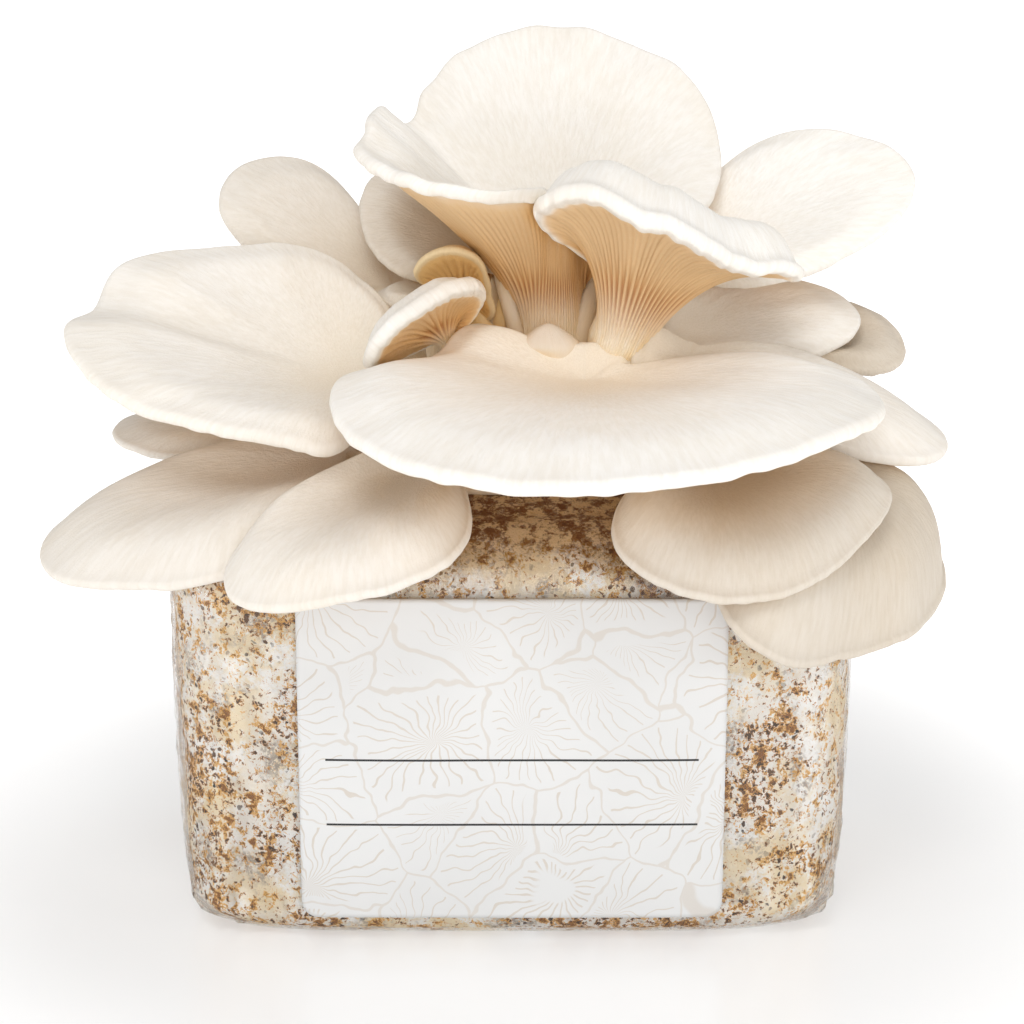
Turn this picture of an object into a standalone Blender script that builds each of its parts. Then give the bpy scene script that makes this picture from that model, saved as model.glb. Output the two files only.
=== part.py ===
"""Oyster mushroom grow kit: a brick of colonised straw and grain in a clear film bag with one
label on its front, and the cluster of oyster mushrooms that grows out of its cut-open top.

Lengths are in millimetres in this file and are scaled to metres when a mesh is written. The
origin is the centre of the bag's flat bottom, +Z is up, the label faces -Y, and +X is to the
right of someone looking at the label.
"""

import math

import bmesh
import bpy
import numpy as np

MM = 0.001

# The brick of substrate.
BLOCK_HALF_WIDTH = 103.3
BLOCK_HALF_DEPTH = 61.3
BLOCK_TOP = 134.0
SHOULDER_WALL = 109.0  # the straight wall ends here and the shoulder starts
SHOULDER_RISE = 22.0
SHOULDER_INSET = (30.0, 22.0)  # how far the shoulder comes in, along X and along Y
FOOT_RADIUS = 10.0
# How far the wall comes in below its full width, by height; along Y it comes in half as far.
WALL_INSETS = ((10.7, 3.0), (22.0, 1.5), (40.0, 0.5), (75.0, 0.0))
WALL_POWER = 5.5  # superellipse exponent of the outline: 2 is an ellipse, more is squarer
SHOULDER_POWER = 3.6
TOP_FLAT = (64.0, 32.0)
BLOCK_SEGMENTS = 32

# The film bag and the label. Pieces that touch keep GAP between them.
GAP = 0.3
CUT_GAP = 0.5  # where one is cut to fit round another
FILM = 0.4
LABEL_WIDTH = 127.0
LABEL_HEIGHT = 101.6
LABEL_BOTTOM = 9.0
LABEL_THICKNESS = 0.3
LABEL_CORNER = 5.0
BAG_RIM_ANGLE = 45.0  # how far up the shoulder's arc the cut edge of the film lies

# The fused foot of the cluster, an ellipse on the brick's flat top.
FOOT_CENTRE = (4.0, 0.0)
FOOT_HALF = (60.0, 32.0)
FOOT_HEIGHT = 24.0

# Each fruitbody is one grown piece: a cap, its gilled underside and a stem to the cluster's foot.
#   hub       the point where the cap's upper surface is deepest, over the stem
#   base      the lower end of the stem, inside the cluster's foot
#   heading   where the cap points, in degrees: 0 is +X, 90 is +Y (the back), 180 is -X
#   pitch     how far that direction is lifted; roll turns the cap about it
#   reach     distance from hub to margin, at even steps round the cap from the heading
#   rise      height of the margin over the hub's plane, at the same steps
#   stem      radius of the stem where it meets the cap, and at its base
#   edge      thickness of the margin;  bowl  how late the cap turns up (an exponent)
#   dome      how far the cap arches between hub and margin
#   join      angle between the cap's plane and the stem;  drop  depth of the flesh at the hub
#   lift      how far out the underside stays close to the upper surface
FRUITBODIES = dict(
    # the tall back wall and the near lip of the crown, one funnel
    cap_crown=dict(
        hub=(13, 4, 201), base=(12, 5, 156), heading=90, pitch=35, roll=0,
        reach=(76, 72, 62, 60, 57, 47, 31, 15, 12, 12, 12, 12, 19, 51, 72, 76),
        rise=(27, 26, 23, 41, 45, 52, 49.5, 42, 36, 34, 32, 30, 23, 3, 12, 23),
        stem=(10, 10.5), edge=4, bowl=1.7, dome=3, join=46, drop=20, lift=0.4,
    ),
    # the funnel right of the crown, tipped so that its gills face the front
    cap_gilled=dict(
        hub=(39, -4, 196), base=(26, -6, 155), heading=-90, pitch=32, roll=-8,
        reach=(56, 48, 46, 52, 31, 17, 12, 11, 11, 11, 11, 11, 11, 22, 46, 56),
        rise=(1.5, -0.5, 0, 3, 13, 9, 8, 7, 6, 5, 4, 4, 4, 6, 8, 8),
        stem=(9.5, 6), edge=4, bowl=1.0, dome=13, join=50, drop=16, lift=0.45,
    ),
    # the tongue high on the right
    cap_right_up=dict(
        hub=(56, 20, 196), base=(38, 20, 148), heading=12, pitch=15, roll=38,
        reach=(75, 59, 30, 11, 8, 8, 8, 8, 8, 9, 18, 42),
        rise=(8, 10.5, 4, -1, -1, -1, -1, 0, 1, 2, 4, 7.5),
        stem=(6, 6), edge=4, bowl=1.5, dome=2, join=60, drop=8, lift=0.5,
    ),
    # the tongue high on the left
    cap_left_up=dict(
        hub=(-38, 20, 187), base=(-20, 22, 146), heading=165, pitch=22, roll=-40,
        reach=(61, 16, 9, 7, 7, 7, 7, 7, 8, 11, 17, 58),
        rise=(4, -4, -2, -1, 0, 0, -1, -1, -2, -4, -5, 2),
        stem=(5.5, 6), edge=4, bowl=1.5, dome=2, join=60, drop=8, lift=0.5,
    ),
    # the smooth cap under the crown's left lobe
    cap_inner_left=dict(
        hub=(-4, 17, 199), base=(-6, 16, 152), heading=178, pitch=8, roll=-45,
        reach=(43, 32, 11, 7, 5, 5, 5, 5, 5, 16, 40, 48),
        rise=(5, 6.5, 4, 2, 1, 0, 0, 0, 0, -1, -2, 0),
        stem=(3, 4.5), edge=4, bowl=1.5, dome=2, join=60, drop=10, lift=0.5,
    ),
    # the widest cap, over the front
    cap_front=dict(
        hub=(22, -24, 167), base=(14, -14, 141), heading=-90, pitch=0, roll=0,
        reach=(95, 93, 94, 92, 69, 22, 20, 17, 14, 15, 20, 38, 49, 79, 92, 95),
        rise=(-2.4, -1, 3.5, 4.5, 8, 4, 7.5, 11, 11.5, 11, 10, 17, 9, 10, 2, -2),
        stem=(10, 11), edge=5, bowl=1.5, dome=3, join=60, drop=6, lift=0.5,
    ),
    # the broad cap on the left
    cap_left=dict(
        hub=(-49, -18, 166), base=(-34, -6, 149), heading=180, pitch=10, roll=-25,
        reach=(87, 77, 61, 48, 39, 17, 11, 10, 10, 13, 20, 25, 35, 51, 63, 80),
        rise=(9, 10, 12.5, 13, 9, 7, 8, 8, 8, 9, 12, 13, 14, 14.5, 12.5, 9),
        stem=(8, 9), edge=5, bowl=1.5, dome=3, join=60, drop=6, lift=0.5,
    ),
    # the cap right of the gilled one
    cap_right_mid=dict(
        hub=(50, 12, 173), base=(48, 10, 142), heading=8, pitch=0, roll=45,
        reach=(59, 43, 21, 13, 9, 6, 6, 6, 6, 6, 8, 23),
        rise=(7, 2, 3, 3, 1, -1, -1, 0, 0, 0, 1, 3),
        stem=(3.2, 4.5), edge=4, bowl=1.5, dome=3, join=75, drop=9, lift=0.5,
    ),
    # the small one behind it
    cap_right_back=dict(
        hub=(91, 24, 169), base=(47, 12, 142), heading=0, pitch=-10, roll=30,
        reach=(34, 27, 19, 10, 9, 11, 14, 20),
        rise=(5, 5, -1, 0, 0, 0, 4, 6),
        stem=(4.5, 5), edge=4, bowl=1.5, dome=3, join=60, drop=6, lift=0.5,
    ),
    # the long one under both
    cap_right_low=dict(
        hub=(54, -10, 171), base=(48, -6, 142), heading=-6, pitch=-12, roll=12,
        reach=(83, 39, 12, 9, 8, 10, 15, 18, 11, 10, 13, 34),
        rise=(-7, 2, 2, 3, 4, 6, 8, -1, -3, -3, -4, -5),
        stem=(4, 5), edge=4, bowl=1.5, dome=4, join=60, drop=8, lift=0.5,
    ),
    # hangs over the front edge, right
    cap_droop_right=dict(
        hub=(56, -44, 145), base=(34, -22, 142), heading=-60, pitch=-25, roll=0,
        reach=(53, 53, 53, 17, 6, 6, 6, 6, 6, 17, 51, 53),
        rise=(0, 7, 11, 4, 4, 4, 4, 4, 4, 5, 3, -2.5),
        stem=(4.5, 4.5), edge=3.5, bowl=1.5, dome=7, join=30, drop=5, lift=0.5,
    ),
    # hangs over the right corner
    cap_droop_right_back=dict(
        hub=(84, -22, 142.5), base=(50, -15, 141), heading=-35, pitch=-30, roll=8,
        reach=(62, 57, 28, 9, 6, 6, 6, 6, 9, 38, 76, 66),
        rise=(-13, -11, -5, 2, 2, 2, 2, 2, 3, 2, -8, -14),
        stem=(2.6, 3.5), edge=3.5, bowl=1.5, dome=14, join=30, drop=2.5, lift=0.5,
    ),
    # hangs over the left corner
    cap_droop_left_back=dict(
        hub=(-50, -30, 146.5), base=(-40, -10, 142), heading=187, pitch=-22, roll=-10,
        reach=(94, 73, 39, 17, 12, 11, 12, 14, 15, 15, 18, 32),
        rise=(13, 4, -4, -10, -12, -11, -8, 0, 4, 6, 7, 10),
        stem=(4, 4.5), edge=3.5, bowl=1.5, dome=8, join=20, drop=7, lift=0.5,
    ),
    # hangs over the front edge, left
    cap_droop_left=dict(
        hub=(-30, -42, 143.5), base=(-22, -24, 142), heading=-139, pitch=-26, roll=0,
        reach=(71, 60, 47, 24, 14, 11, 10, 10, 9, 9, 11, 18),
        rise=(13, 3.5, -1, -2, -2, -2, -1, 2, 5, 9, 11, 14),
        stem=(4.5, 4.5), edge=3.5, bowl=1.5, dome=7, join=30, drop=5, lift=0.5,
    ),
    # small, under the broad left one
    cap_left_under=dict(
        hub=(-76, 4, 148), base=(-42, 5, 143), heading=180, pitch=-4, roll=-15,
        reach=(49, 23, 10, 7, 7, 9, 13, 25),
        rise=(2, 0, -2, 1, 1, 1, -2, -3),
        stem=(3.5, 4), edge=3, bowl=1.5, dome=2, join=20, drop=6, lift=0.5,
    ),
    # small, seen on its edge
    cap_edge_on=dict(
        hub=(-23, -8, 181), base=(-13, -12, 155), heading=-35, pitch=53, roll=0,
        reach=(20, 5, 3, 4, 6, 16, 37, 29),
        rise=(1, 1, 1, 1, 1, 3, 1, 2),
        stem=(3, 3.5), edge=3, bowl=1.5, dome=3, join=60, drop=5, lift=0.5,
    ),
    # young and tan, curled into an arch
    cap_tan_curled=dict(
        hub=(-15, 4, 191), base=(-12, 2, 152), heading=-95, pitch=53, roll=0,
        reach=(22, 12, 9, 12, 6, 4, 6, 19),
        rise=(-3, -2, -2, -4, -1, 0, 0, -4),
        stem=(2.5, 2.5), edge=2.5, bowl=1.5, dome=3, join=60, drop=6, lift=0.5,
    ),
    # young and tan, a thin flat tongue
    cap_tan_tongue=dict(
        hub=(-27, 8, 188), base=(-22, 7, 150), heading=185, pitch=0, roll=-20,
        reach=(15, 10, 6, 5, 5, 8, 9, 10),
        rise=(0, 1, 1, 1, 0, -1, -1, 0),
        stem=(2, 3), edge=2.5, bowl=1.5, dome=1, join=60, drop=4, lift=0.5,
    ),
)

# Young ones between the stems: base, tip, sideways bend, and (fraction of length, radius) pairs
# from the base to just under the tip. depth squashes it from front to back.
YOUNG = dict(
    young_cap_tan=dict(
        base=(-8, -6, 152), tip=(-11, -4, 184), bend=(2, 0, 0),
        profile=((0.0, 2.2), (0.5, 2.4), (0.66, 5.2), (0.8, 5.4), (0.93, 3.2)),
    ),
    young_bud_tan=dict(
        base=(-3, 4, 152), tip=(-4, 4, 186), bend=(0, 0, 0),
        profile=((0.0, 1.8), (0.55, 1.8), (0.7, 2.4), (0.85, 2.3), (0.96, 1.2)),
    ),
    young_cap_grey=dict(
        base=(-6, 11, 152), tip=(-6, 13, 191), bend=(2, 0, 0),
        profile=((0.0, 1.5), (0.7, 1.4), (0.84, 2.8), (0.93, 2.5), (0.98, 1.2)),
    ),
    young_bud_pale=dict(
        base=(7, -1, 152), tip=(-5.5, 4, 201), bend=(0.5, 0, 0),
        profile=((0.0, 2.6), (0.4, 2.5), (0.8, 2.2), (0.95, 1.9)),
    ),
    young_button=dict(
        base=(11, -11, 152), tip=(11, -11, 181.5), bend=(0, 0, 0), depth=0.62,
        profile=((0.0, 6.5), (0.5, 8.0), (0.68, 9.9), (0.82, 9.6), (0.94, 6.6)),
    ),
    young_stem_pale=dict(
        base=(20, -5, 152), tip=(27, 7, 195), bend=(-2, 0, 0),
        profile=((0.0, 3.0), (0.5, 3.4), (0.8, 3.6), (0.94, 2.8)),
    ),
    young_cap_pale=dict(
        base=(-30, 3, 147), tip=(-35, 3, 184), bend=(-2, 0, 0),
        profile=((0.0, 1.6), (0.7, 1.5), (0.84, 4.2), (0.93, 4.0), (0.98, 2.0)),
    ),
)

# Where two fruitbodies press on each other, the first has grown round the second.
PRESSED = (
    ("cap_crown", "cap_gilled"),
    ("cap_gilled", "cap_right_low"),
    ("cap_front", "cap_gilled"),
    ("cap_right_up", "cap_right_mid"),
    ("cap_inner_left", "cap_tan_curled"),
    ("cap_right_low", "cap_front"),
    ("cap_edge_on", "cap_front"),
    ("cap_edge_on", "cap_left"),
    ("cap_tan_curled", "cap_edge_on"),
    ("cap_droop_left_back", "cap_left"),
    ("cap_droop_right_back", "cap_droop_right"),
    ("cap_right_back", "cap_right_mid"),
    ("cap_inner_left", "cap_crown"),
    ("young_button", "cap_crown"),
    ("young_bud_pale", "cap_crown"),
    ("young_bud_pale", "cap_inner_left"),
    ("young_bud_pale", "cap_tan_curled"),
    ("young_bud_pale", "young_cap_grey"),
    ("young_bud_pale", "young_bud_tan"),
    ("young_bud_pale", "young_button"),
    ("cap_front", "young_button"),
    ("young_stem_pale", "cap_crown"),
    ("young_stem_pale", "cap_gilled"),
    ("young_cap_tan", "cap_front"),
    ("young_cap_tan", "cap_edge_on"),
    ("young_cap_tan", "cap_tan_curled"),
)

# Rings of points from hub to stem base: on the cap, round its margin, under it and down the stem.
RINGS_LARGE = (3, 1, 3, 2)
RINGS_SMALL = (2, 1, 3, 2)
SEGMENTS = {16: 32, 12: 20, 8: 16}  # for that many steps of reach
YOUNG_SEGMENTS = 10
YOUNG_TIP_RADIUS = 0.4

COLOURS = dict(
    substrate=((0.62, 0.53, 0.40), 0.85),
    film=((0.86, 0.87, 0.88), 0.15),
    label=((0.90, 0.90, 0.89), 0.40),
    foot=((0.80, 0.68, 0.50), 0.70),
    cap=((0.90, 0.86, 0.79), 0.60),
    young=((0.78, 0.60, 0.36), 0.60),
)


def unit(vector):
    """The vector or vectors at length one."""
    return vector / np.linalg.norm(vector, axis=-1, keepdims=True)


def material(name, colour, roughness):
    """A plain Principled BSDF."""
    made = bpy.data.materials.new(name)
    made.use_nodes = True
    shader = made.node_tree.nodes["Principled BSDF"]
    shader.inputs["Base Color"].default_value = (*colour, 1.0)
    shader.inputs["Roughness"].default_value = roughness
    return made


def add_object(name, mesh, kind, collection):
    """An object of the mesh, with a material of its own, in the collection."""
    mesh.shade_smooth()
    mesh.set_sharp_from_angle(angle=math.radians(50))
    mesh.materials.append(material(name, *COLOURS[kind]))
    made = bpy.data.objects.new(name, mesh)
    collection.objects.link(made)
    return made


def sphere_moved_onto(name, first, rings, last, open_at_first=False):
    """A UV sphere whose poles and rings are moved onto the given points.

    Its rings keep their order, so a ring list from top to bottom that turns counter-clockwise
    seen from the top gives a closed mesh whose faces point out.
    """
    columns = len(rings[0])
    rows = len(rings) + 1
    bm = bmesh.new()
    bmesh.ops.create_uvsphere(bm, u_segments=columns, v_segments=rows, radius=1.0)
    for vert in bm.verts:
        row = round(math.acos(max(-1.0, min(1.0, vert.co.z))) / math.pi * rows)
        column = round(math.atan2(vert.co.y, vert.co.x) / math.tau * columns) % columns
        place = first if row == 0 else last if row == rows else rings[row - 1][column]
        vert.co = [value * MM for value in place]
        vert.tag = row == 0
    if open_at_first:
        bmesh.ops.delete(bm, geom=[v for v in bm.verts if v.tag], context="VERTS")
    mesh = bpy.data.meshes.new(name)
    bm.to_mesh(mesh)
    bm.free()
    return mesh


def rounded_ring(half_x, half_y, height, power, segments=BLOCK_SEGMENTS, centre=(0.0, 0.0)):
    """A level ring of points on a superellipse."""
    angle = np.linspace(0.0, math.tau, segments, endpoint=False)
    cosine = np.cos(angle)
    sine = np.sin(angle)
    return np.stack(
        [
            centre[0] + half_x * np.sign(cosine) * np.abs(cosine) ** (2 / power),
            centre[1] + half_y * np.sign(sine) * np.abs(sine) ** (2 / power),
            np.full(segments, height),
        ],
        axis=1,
    )


def brick_rings(offset, rim_angle=90.0):
    """Rings of the brick's outer form from the top down, moved out by offset.

    They start on the shoulder at rim_angle: 90 degrees is the shoulder's inner end.
    """
    rings = []
    for degrees in (90.0, 67.5, 45.0, 22.5, 0.0):
        if degrees > rim_angle:
            continue
        angle = math.radians(degrees)
        inward = 1 - math.cos(angle)
        out = offset * math.cos(angle)
        rings.append(
            rounded_ring(
                BLOCK_HALF_WIDTH - SHOULDER_INSET[0] * inward + out,
                BLOCK_HALF_DEPTH - SHOULDER_INSET[1] * inward + out,
                SHOULDER_WALL + (SHOULDER_RISE + offset) * math.sin(angle),
                WALL_POWER - (WALL_POWER - SHOULDER_POWER) * math.sin(angle),
            )
        )
    for height, inset in WALL_INSETS[:0:-1]:
        rings.append(
            rounded_ring(
                BLOCK_HALF_WIDTH - inset + offset,
                BLOCK_HALF_DEPTH - inset / 2 + offset,
                height,
                WALL_POWER,
            )
        )
    foot_centre_height, foot_inset = WALL_INSETS[0]
    for degrees in (0.0, 30.0, 60.0, 90.0):
        angle = math.radians(degrees)
        inward = FOOT_RADIUS * (1 - math.cos(angle))
        out = offset * math.cos(angle)
        rings.append(
            rounded_ring(
                BLOCK_HALF_WIDTH - foot_inset - inward + out,
                BLOCK_HALF_DEPTH - foot_inset / 2 - inward + out,
                foot_centre_height - (FOOT_RADIUS + offset) * math.sin(angle),
                WALL_POWER,
            )
        )
    return rings


def substrate_block(collection):
    """The brick: flat top for the cluster, round shoulders, straight walls, round foot."""
    bottom = GAP + FILM
    rings = [
        rounded_ring(TOP_FLAT[0] / 2, TOP_FLAT[1] / 2, BLOCK_TOP, 3.0),
        rounded_ring(*TOP_FLAT, BLOCK_TOP, 3.2),
        *brick_rings(0.0),
        rounded_ring(45.0, 25.0, bottom, WALL_POWER),
    ]
    mesh = sphere_moved_onto("substrate_block", (0, 0, BLOCK_TOP), rings, (0, 0, bottom))
    return add_object("substrate_block", mesh, "substrate", collection)


def grow_bag(collection):
    """The film: an open skin over the brick's bottom, walls and outer shoulders."""
    rings = [
        *brick_rings(GAP + FILM, BAG_RIM_ANGLE),
        rounded_ring(45.0, 25.0, 0.0, WALL_POWER),
    ]
    mesh = sphere_moved_onto("grow_bag", (0, 0, 0), rings, (0, 0, 0), open_at_first=True)
    bag = add_object("grow_bag", mesh, "film", collection)
    wall = bag.modifiers.new("film thickness", "SOLIDIFY")
    wall.thickness = FILM * MM
    wall.offset = -1.0
    return bag


def bag_front(x, height, offset):
    """The y of the bag's front wall there, moved out by offset."""
    inset = np.interp(height, *np.transpose(WALL_INSETS))
    half_width = BLOCK_HALF_WIDTH + GAP + FILM
    half_depth = BLOCK_HALF_DEPTH + GAP + FILM - inset / 2
    share = 1 - (abs(x) / half_width) ** WALL_POWER
    return -(half_depth * share ** (1 / WALL_POWER) + offset)


def label(collection):
    """The sticker: a sheet that follows the bag's front wall."""
    bm = bmesh.new()
    bmesh.ops.create_grid(bm, x_segments=14, y_segments=6, size=1.0)
    for vert in bm.verts:
        x = vert.co.x * LABEL_WIDTH / 2
        z = vert.co.y * LABEL_HEIGHT / 2
        if abs(vert.co.x) > 0.999 and abs(vert.co.y) > 0.999:
            cut = LABEL_CORNER * (1 - math.sqrt(0.5))
            x -= math.copysign(cut, x)
            z -= math.copysign(cut, z)
        height = LABEL_BOTTOM + LABEL_HEIGHT / 2 + z
        vert.co = (x * MM, bag_front(x, height, 2 * GAP) * MM, height * MM)
    mesh = bpy.data.meshes.new("label")
    bm.to_mesh(mesh)
    bm.free()
    sticker = add_object("label", mesh, "label", collection)
    sheet = sticker.modifiers.new("sheet thickness", "SOLIDIFY")
    sheet.thickness = LABEL_THICKNESS * MM
    sheet.offset = -1.0 if mesh.polygons[0].normal.y > 0 else 1.0
    return sticker


def cluster_foot(collection):
    """The fused mass that every stem comes out of: a lumpy mound."""
    rings = []
    for share, rise in ((0.25, 0.96), (0.5, 0.83), (0.72, 0.62), (0.88, 0.38), (0.93, 0.16)):
        ring = rounded_ring(
            FOOT_HALF[0] * share,
            FOOT_HALF[1] * share,
            BLOCK_TOP + GAP + FOOT_HEIGHT * rise,
            2.4,
            segments=32,
            centre=FOOT_CENTRE,
        )
        turn = np.linspace(0.0, math.tau, len(ring), endpoint=False)
        ring[:, 2] += 1.2 * share * np.cos(5 * turn + 3 * share)
        rings.append(ring)
    rings.append(
        rounded_ring(
            FOOT_HALF[0] * 0.9,
            FOOT_HALF[1] * 0.9,
            BLOCK_TOP + GAP,
            2.4,
            segments=32,
            centre=FOOT_CENTRE,
        )
    )
    top = (*FOOT_CENTRE, BLOCK_TOP + GAP + FOOT_HEIGHT)
    bottom = (*FOOT_CENTRE, BLOCK_TOP + GAP)
    mesh = sphere_moved_onto("cluster_base", top, rings, bottom)
    return add_object("cluster_base", mesh, "foot", collection)


def cap_axes(heading, pitch, roll):
    """Unit vectors of a cap: along its heading, to its left, and up through it."""
    turn = math.radians(heading)
    lift = math.radians(pitch)
    lean = math.radians(roll)
    along = np.array(
        [
            math.cos(turn) * math.cos(lift),
            math.sin(turn) * math.cos(lift),
            math.sin(lift),
        ]
    )
    level = np.array([-math.sin(turn), math.cos(turn), 0.0])
    up = np.cross(along, level)
    side = math.cos(lean) * level + math.sin(lean) * up
    return along, side, np.cross(along, side)


def around(values, angle):
    """A smooth closed curve through values given at even steps of a full turn (Catmull-Rom)."""
    values = np.asarray(values, float)
    count = len(values)
    place = (angle / math.tau * count) % count
    step = np.floor(place).astype(int)
    part = place - step
    before = values[(step - 1) % count]
    here = values[step % count]
    after = values[(step + 1) % count]
    beyond = values[(step + 2) % count]
    return 0.5 * (
        2 * here
        + (after - before) * part
        + (2 * before - 5 * here + 4 * after - beyond) * part**2
        + (3 * here - before - 3 * after + beyond) * part**3
    )


def fruitbody_rings(form):
    """Rings of points over a cap, round its margin, back under it and down its stem."""
    segments = SEGMENTS[len(form["reach"])]
    on_cap, on_margin, under_cap, on_stem = RINGS_LARGE if segments > 20 else RINGS_SMALL
    along, side, up = cap_axes(form["heading"], form["pitch"], form["roll"])
    hub = np.array(form["hub"], float)
    base = np.array(form["base"], float)
    edge = form["edge"]
    stem_top, stem_base = form["stem"]
    angle = np.linspace(0.0, math.tau, segments, endpoint=False)
    reach = around(form["reach"], angle) - 0.4 * edge
    rise = around(form["rise"], angle)
    out = np.cos(angle)[:, None] * along + np.sin(angle)[:, None] * side
    arch = 6.75 * form["dome"] * np.minimum(1.5 * reach / reach.max(), 1.0)

    def upper(share):
        height = rise * share ** form["bowl"] + arch * share**2 * (1 - share)
        return hub + out * (reach * share)[:, None] + up * height[:, None]

    rings = [upper((step + 1) / on_cap) for step in range(on_cap)]
    margin = upper(1.0)
    for step in range(on_margin):
        turn = math.pi * (step + 1) / (on_margin + 1)
        rings.append(
            margin + out * (edge / 2 * math.sin(turn)) - up * (edge / 2 * (1 - math.cos(turn)))
        )

    # The stem comes from the base, so it leans the way the cap reaches out from there.
    away = hub - base
    away = unit(away - (away @ up) * up)
    turned = angle - math.atan2(away @ side, away @ along)
    lean = math.radians(form["join"])
    axis = math.cos(lean) * away + math.sin(lean) * up
    forward = math.sin(lean) * away - math.cos(lean) * up
    neck = hub - axis * form["drop"] - up * (stem_top * math.cos(lean) + 0.3 * edge)

    def stem_ring(centre, radius, first, second):
        return centre + radius * (
            np.cos(turned)[:, None] * first + np.sin(turned)[:, None] * second
        )

    neck_ring = stem_ring(neck, stem_top, forward, np.cross(axis, forward))
    start = margin - up * edge - out * (0.15 * edge)
    near_cap = upper(form["lift"]) - up * (0.9 * edge + 1.0)
    near_stem = neck_ring + axis * (form["drop"] / 2)
    for step in range(under_cap):
        t = step / under_cap
        rings.append(
            (1 - t) ** 3 * start
            + 3 * (1 - t) ** 2 * t * near_cap
            + 3 * (1 - t) * t**2 * near_stem
            + t**3 * neck_ring
        )

    bend = neck - axis * (0.45 * np.linalg.norm(neck - base))
    for step in range(on_stem + 1):
        t = step / on_stem
        centre = (1 - t) ** 2 * neck + 2 * (1 - t) * t * bend + t**2 * base
        upward = -unit(2 * (1 - t) * (bend - neck) + 2 * t * (base - bend))
        first = unit(forward - (forward @ upward) * upward)
        radius = stem_top + (stem_base - stem_top) * t
        rings.append(stem_ring(centre, radius, first, np.cross(upward, first)))
    return hub, rings, base


def fruitbody(name, form, collection):
    """One mushroom, cap and stem in one piece."""
    mesh = sphere_moved_onto(name, *fruitbody_rings(form))
    return add_object(name, mesh, "young" if "tan" in name else "cap", collection)


def young_one(name, form, collection):
    """A pin, bud or button: a profile turned about a gently bent axis."""
    base = np.array(form["base"], float)
    tip = np.array(form["tip"], float)
    bend = np.array(form["bend"], float)
    axis = unit(tip - base)
    first = unit(np.cross((0.0, 1.0, 0.0), axis))
    second = np.cross(axis, first) * form.get("depth", 1.0)
    angle = np.linspace(0.0, math.tau, YOUNG_SEGMENTS, endpoint=False)
    rings = []
    for share, radius in (*form["profile"], (1.0, YOUNG_TIP_RADIUS)):
        centre = base + (tip - base) * share + bend * math.sin(math.pi * share)
        rings.append(
            centre + radius * (np.cos(angle)[:, None] * first + np.sin(angle)[:, None] * second)
        )
    mesh = sphere_moved_onto(name, tip + axis * YOUNG_TIP_RADIUS, rings[::-1], base)
    return add_object(name, mesh, "young" if "tan" in name else "cap", collection)


def grown_copy(piece, cutters):
    """A cutter: the piece's mesh, moved out along its normals by the gap that pieces keep."""
    bm = bmesh.new()
    bm.from_mesh(piece.data)
    bm.normal_update()
    moved = [vert.co + vert.normal * (CUT_GAP * MM) for vert in bm.verts]
    for vert, place in zip(bm.verts, moved):
        vert.co = place
    mesh = bpy.data.meshes.new(f"{piece.name}_cutter")
    bm.to_mesh(mesh)
    bm.free()
    cutter = bpy.data.objects.new(mesh.name, mesh)
    cutter.hide_render = True
    cutter.display_type = "WIRE"
    cutters.objects.link(cutter)
    return cutter


def cut(piece, cutter):
    """Takes the cutter's space out of the piece."""
    modifier = piece.modifiers.new(cutter.name, "BOOLEAN")
    modifier.operation = "DIFFERENCE"
    modifier.solver = "EXACT"
    modifier.object = cutter


def keep_largest_body(piece):
    """Applies the piece's cuts and drops what they cut loose inside a neighbour."""
    graph = bpy.context.evaluated_depsgraph_get()
    mesh = bpy.data.meshes.new_from_object(piece.evaluated_get(graph))
    bm = bmesh.new()
    bm.from_mesh(mesh)
    bmesh.ops.remove_doubles(bm, verts=bm.verts, dist=1e-6)
    bodies = []
    seen = set()
    for start in bm.verts:
        if start in seen:
            continue
        body = {start}
        front = [start]
        while front:
            vert = front.pop()
            for edge in vert.link_edges:
                other = edge.other_vert(vert)
                if other not in body:
                    body.add(other)
                    front.append(other)
        seen |= body
        bodies.append(body)
    largest = max(bodies, key=len)
    loose = [vert for vert in bm.verts if vert not in largest]
    bmesh.ops.delete(bm, geom=loose, context="VERTS")
    bm.to_mesh(mesh)
    bm.free()
    piece.modifiers.clear()
    piece.data = mesh


def main():
    """Clears the scene and builds the kit."""
    for old in list(bpy.data.objects):
        bpy.data.objects.remove(old, do_unlink=True)
    scene = bpy.context.scene
    kit = bpy.data.collections.new("oyster_mushroom_grow_kit")
    cutters = bpy.data.collections.new("cutters")
    scene.collection.children.link(kit)
    scene.collection.children.link(cutters)

    substrate_block(kit)
    grow_bag(kit)
    label(kit)
    foot = cluster_foot(kit)
    cluster = {name: fruitbody(name, form, kit) for name, form in FRUITBODIES.items()}
    for name, form in YOUNG.items():
        cluster[name] = young_one(name, form, kit)

    tools = {name: grown_copy(piece, cutters) for name, piece in cluster.items()}
    foot_tool = grown_copy(foot, cutters)
    for piece in cluster.values():
        cut(piece, foot_tool)
    for name, neighbour in PRESSED:
        cut(cluster[name], tools[neighbour])
    bpy.context.view_layer.update()
    for piece in cluster.values():
        keep_largest_body(piece)


main()
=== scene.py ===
"""Looks of the oyster mushroom grow kit: fine gilled caps, the colonised brick, its clear film
and its label, with a white floor, soft studio light and the camera.

Shapes are made in millimetres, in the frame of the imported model, and scaled to metres when a
mesh is written. Angles in the tables are in degrees. Lengths inside a material are in metres.
"""

import math

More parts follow.
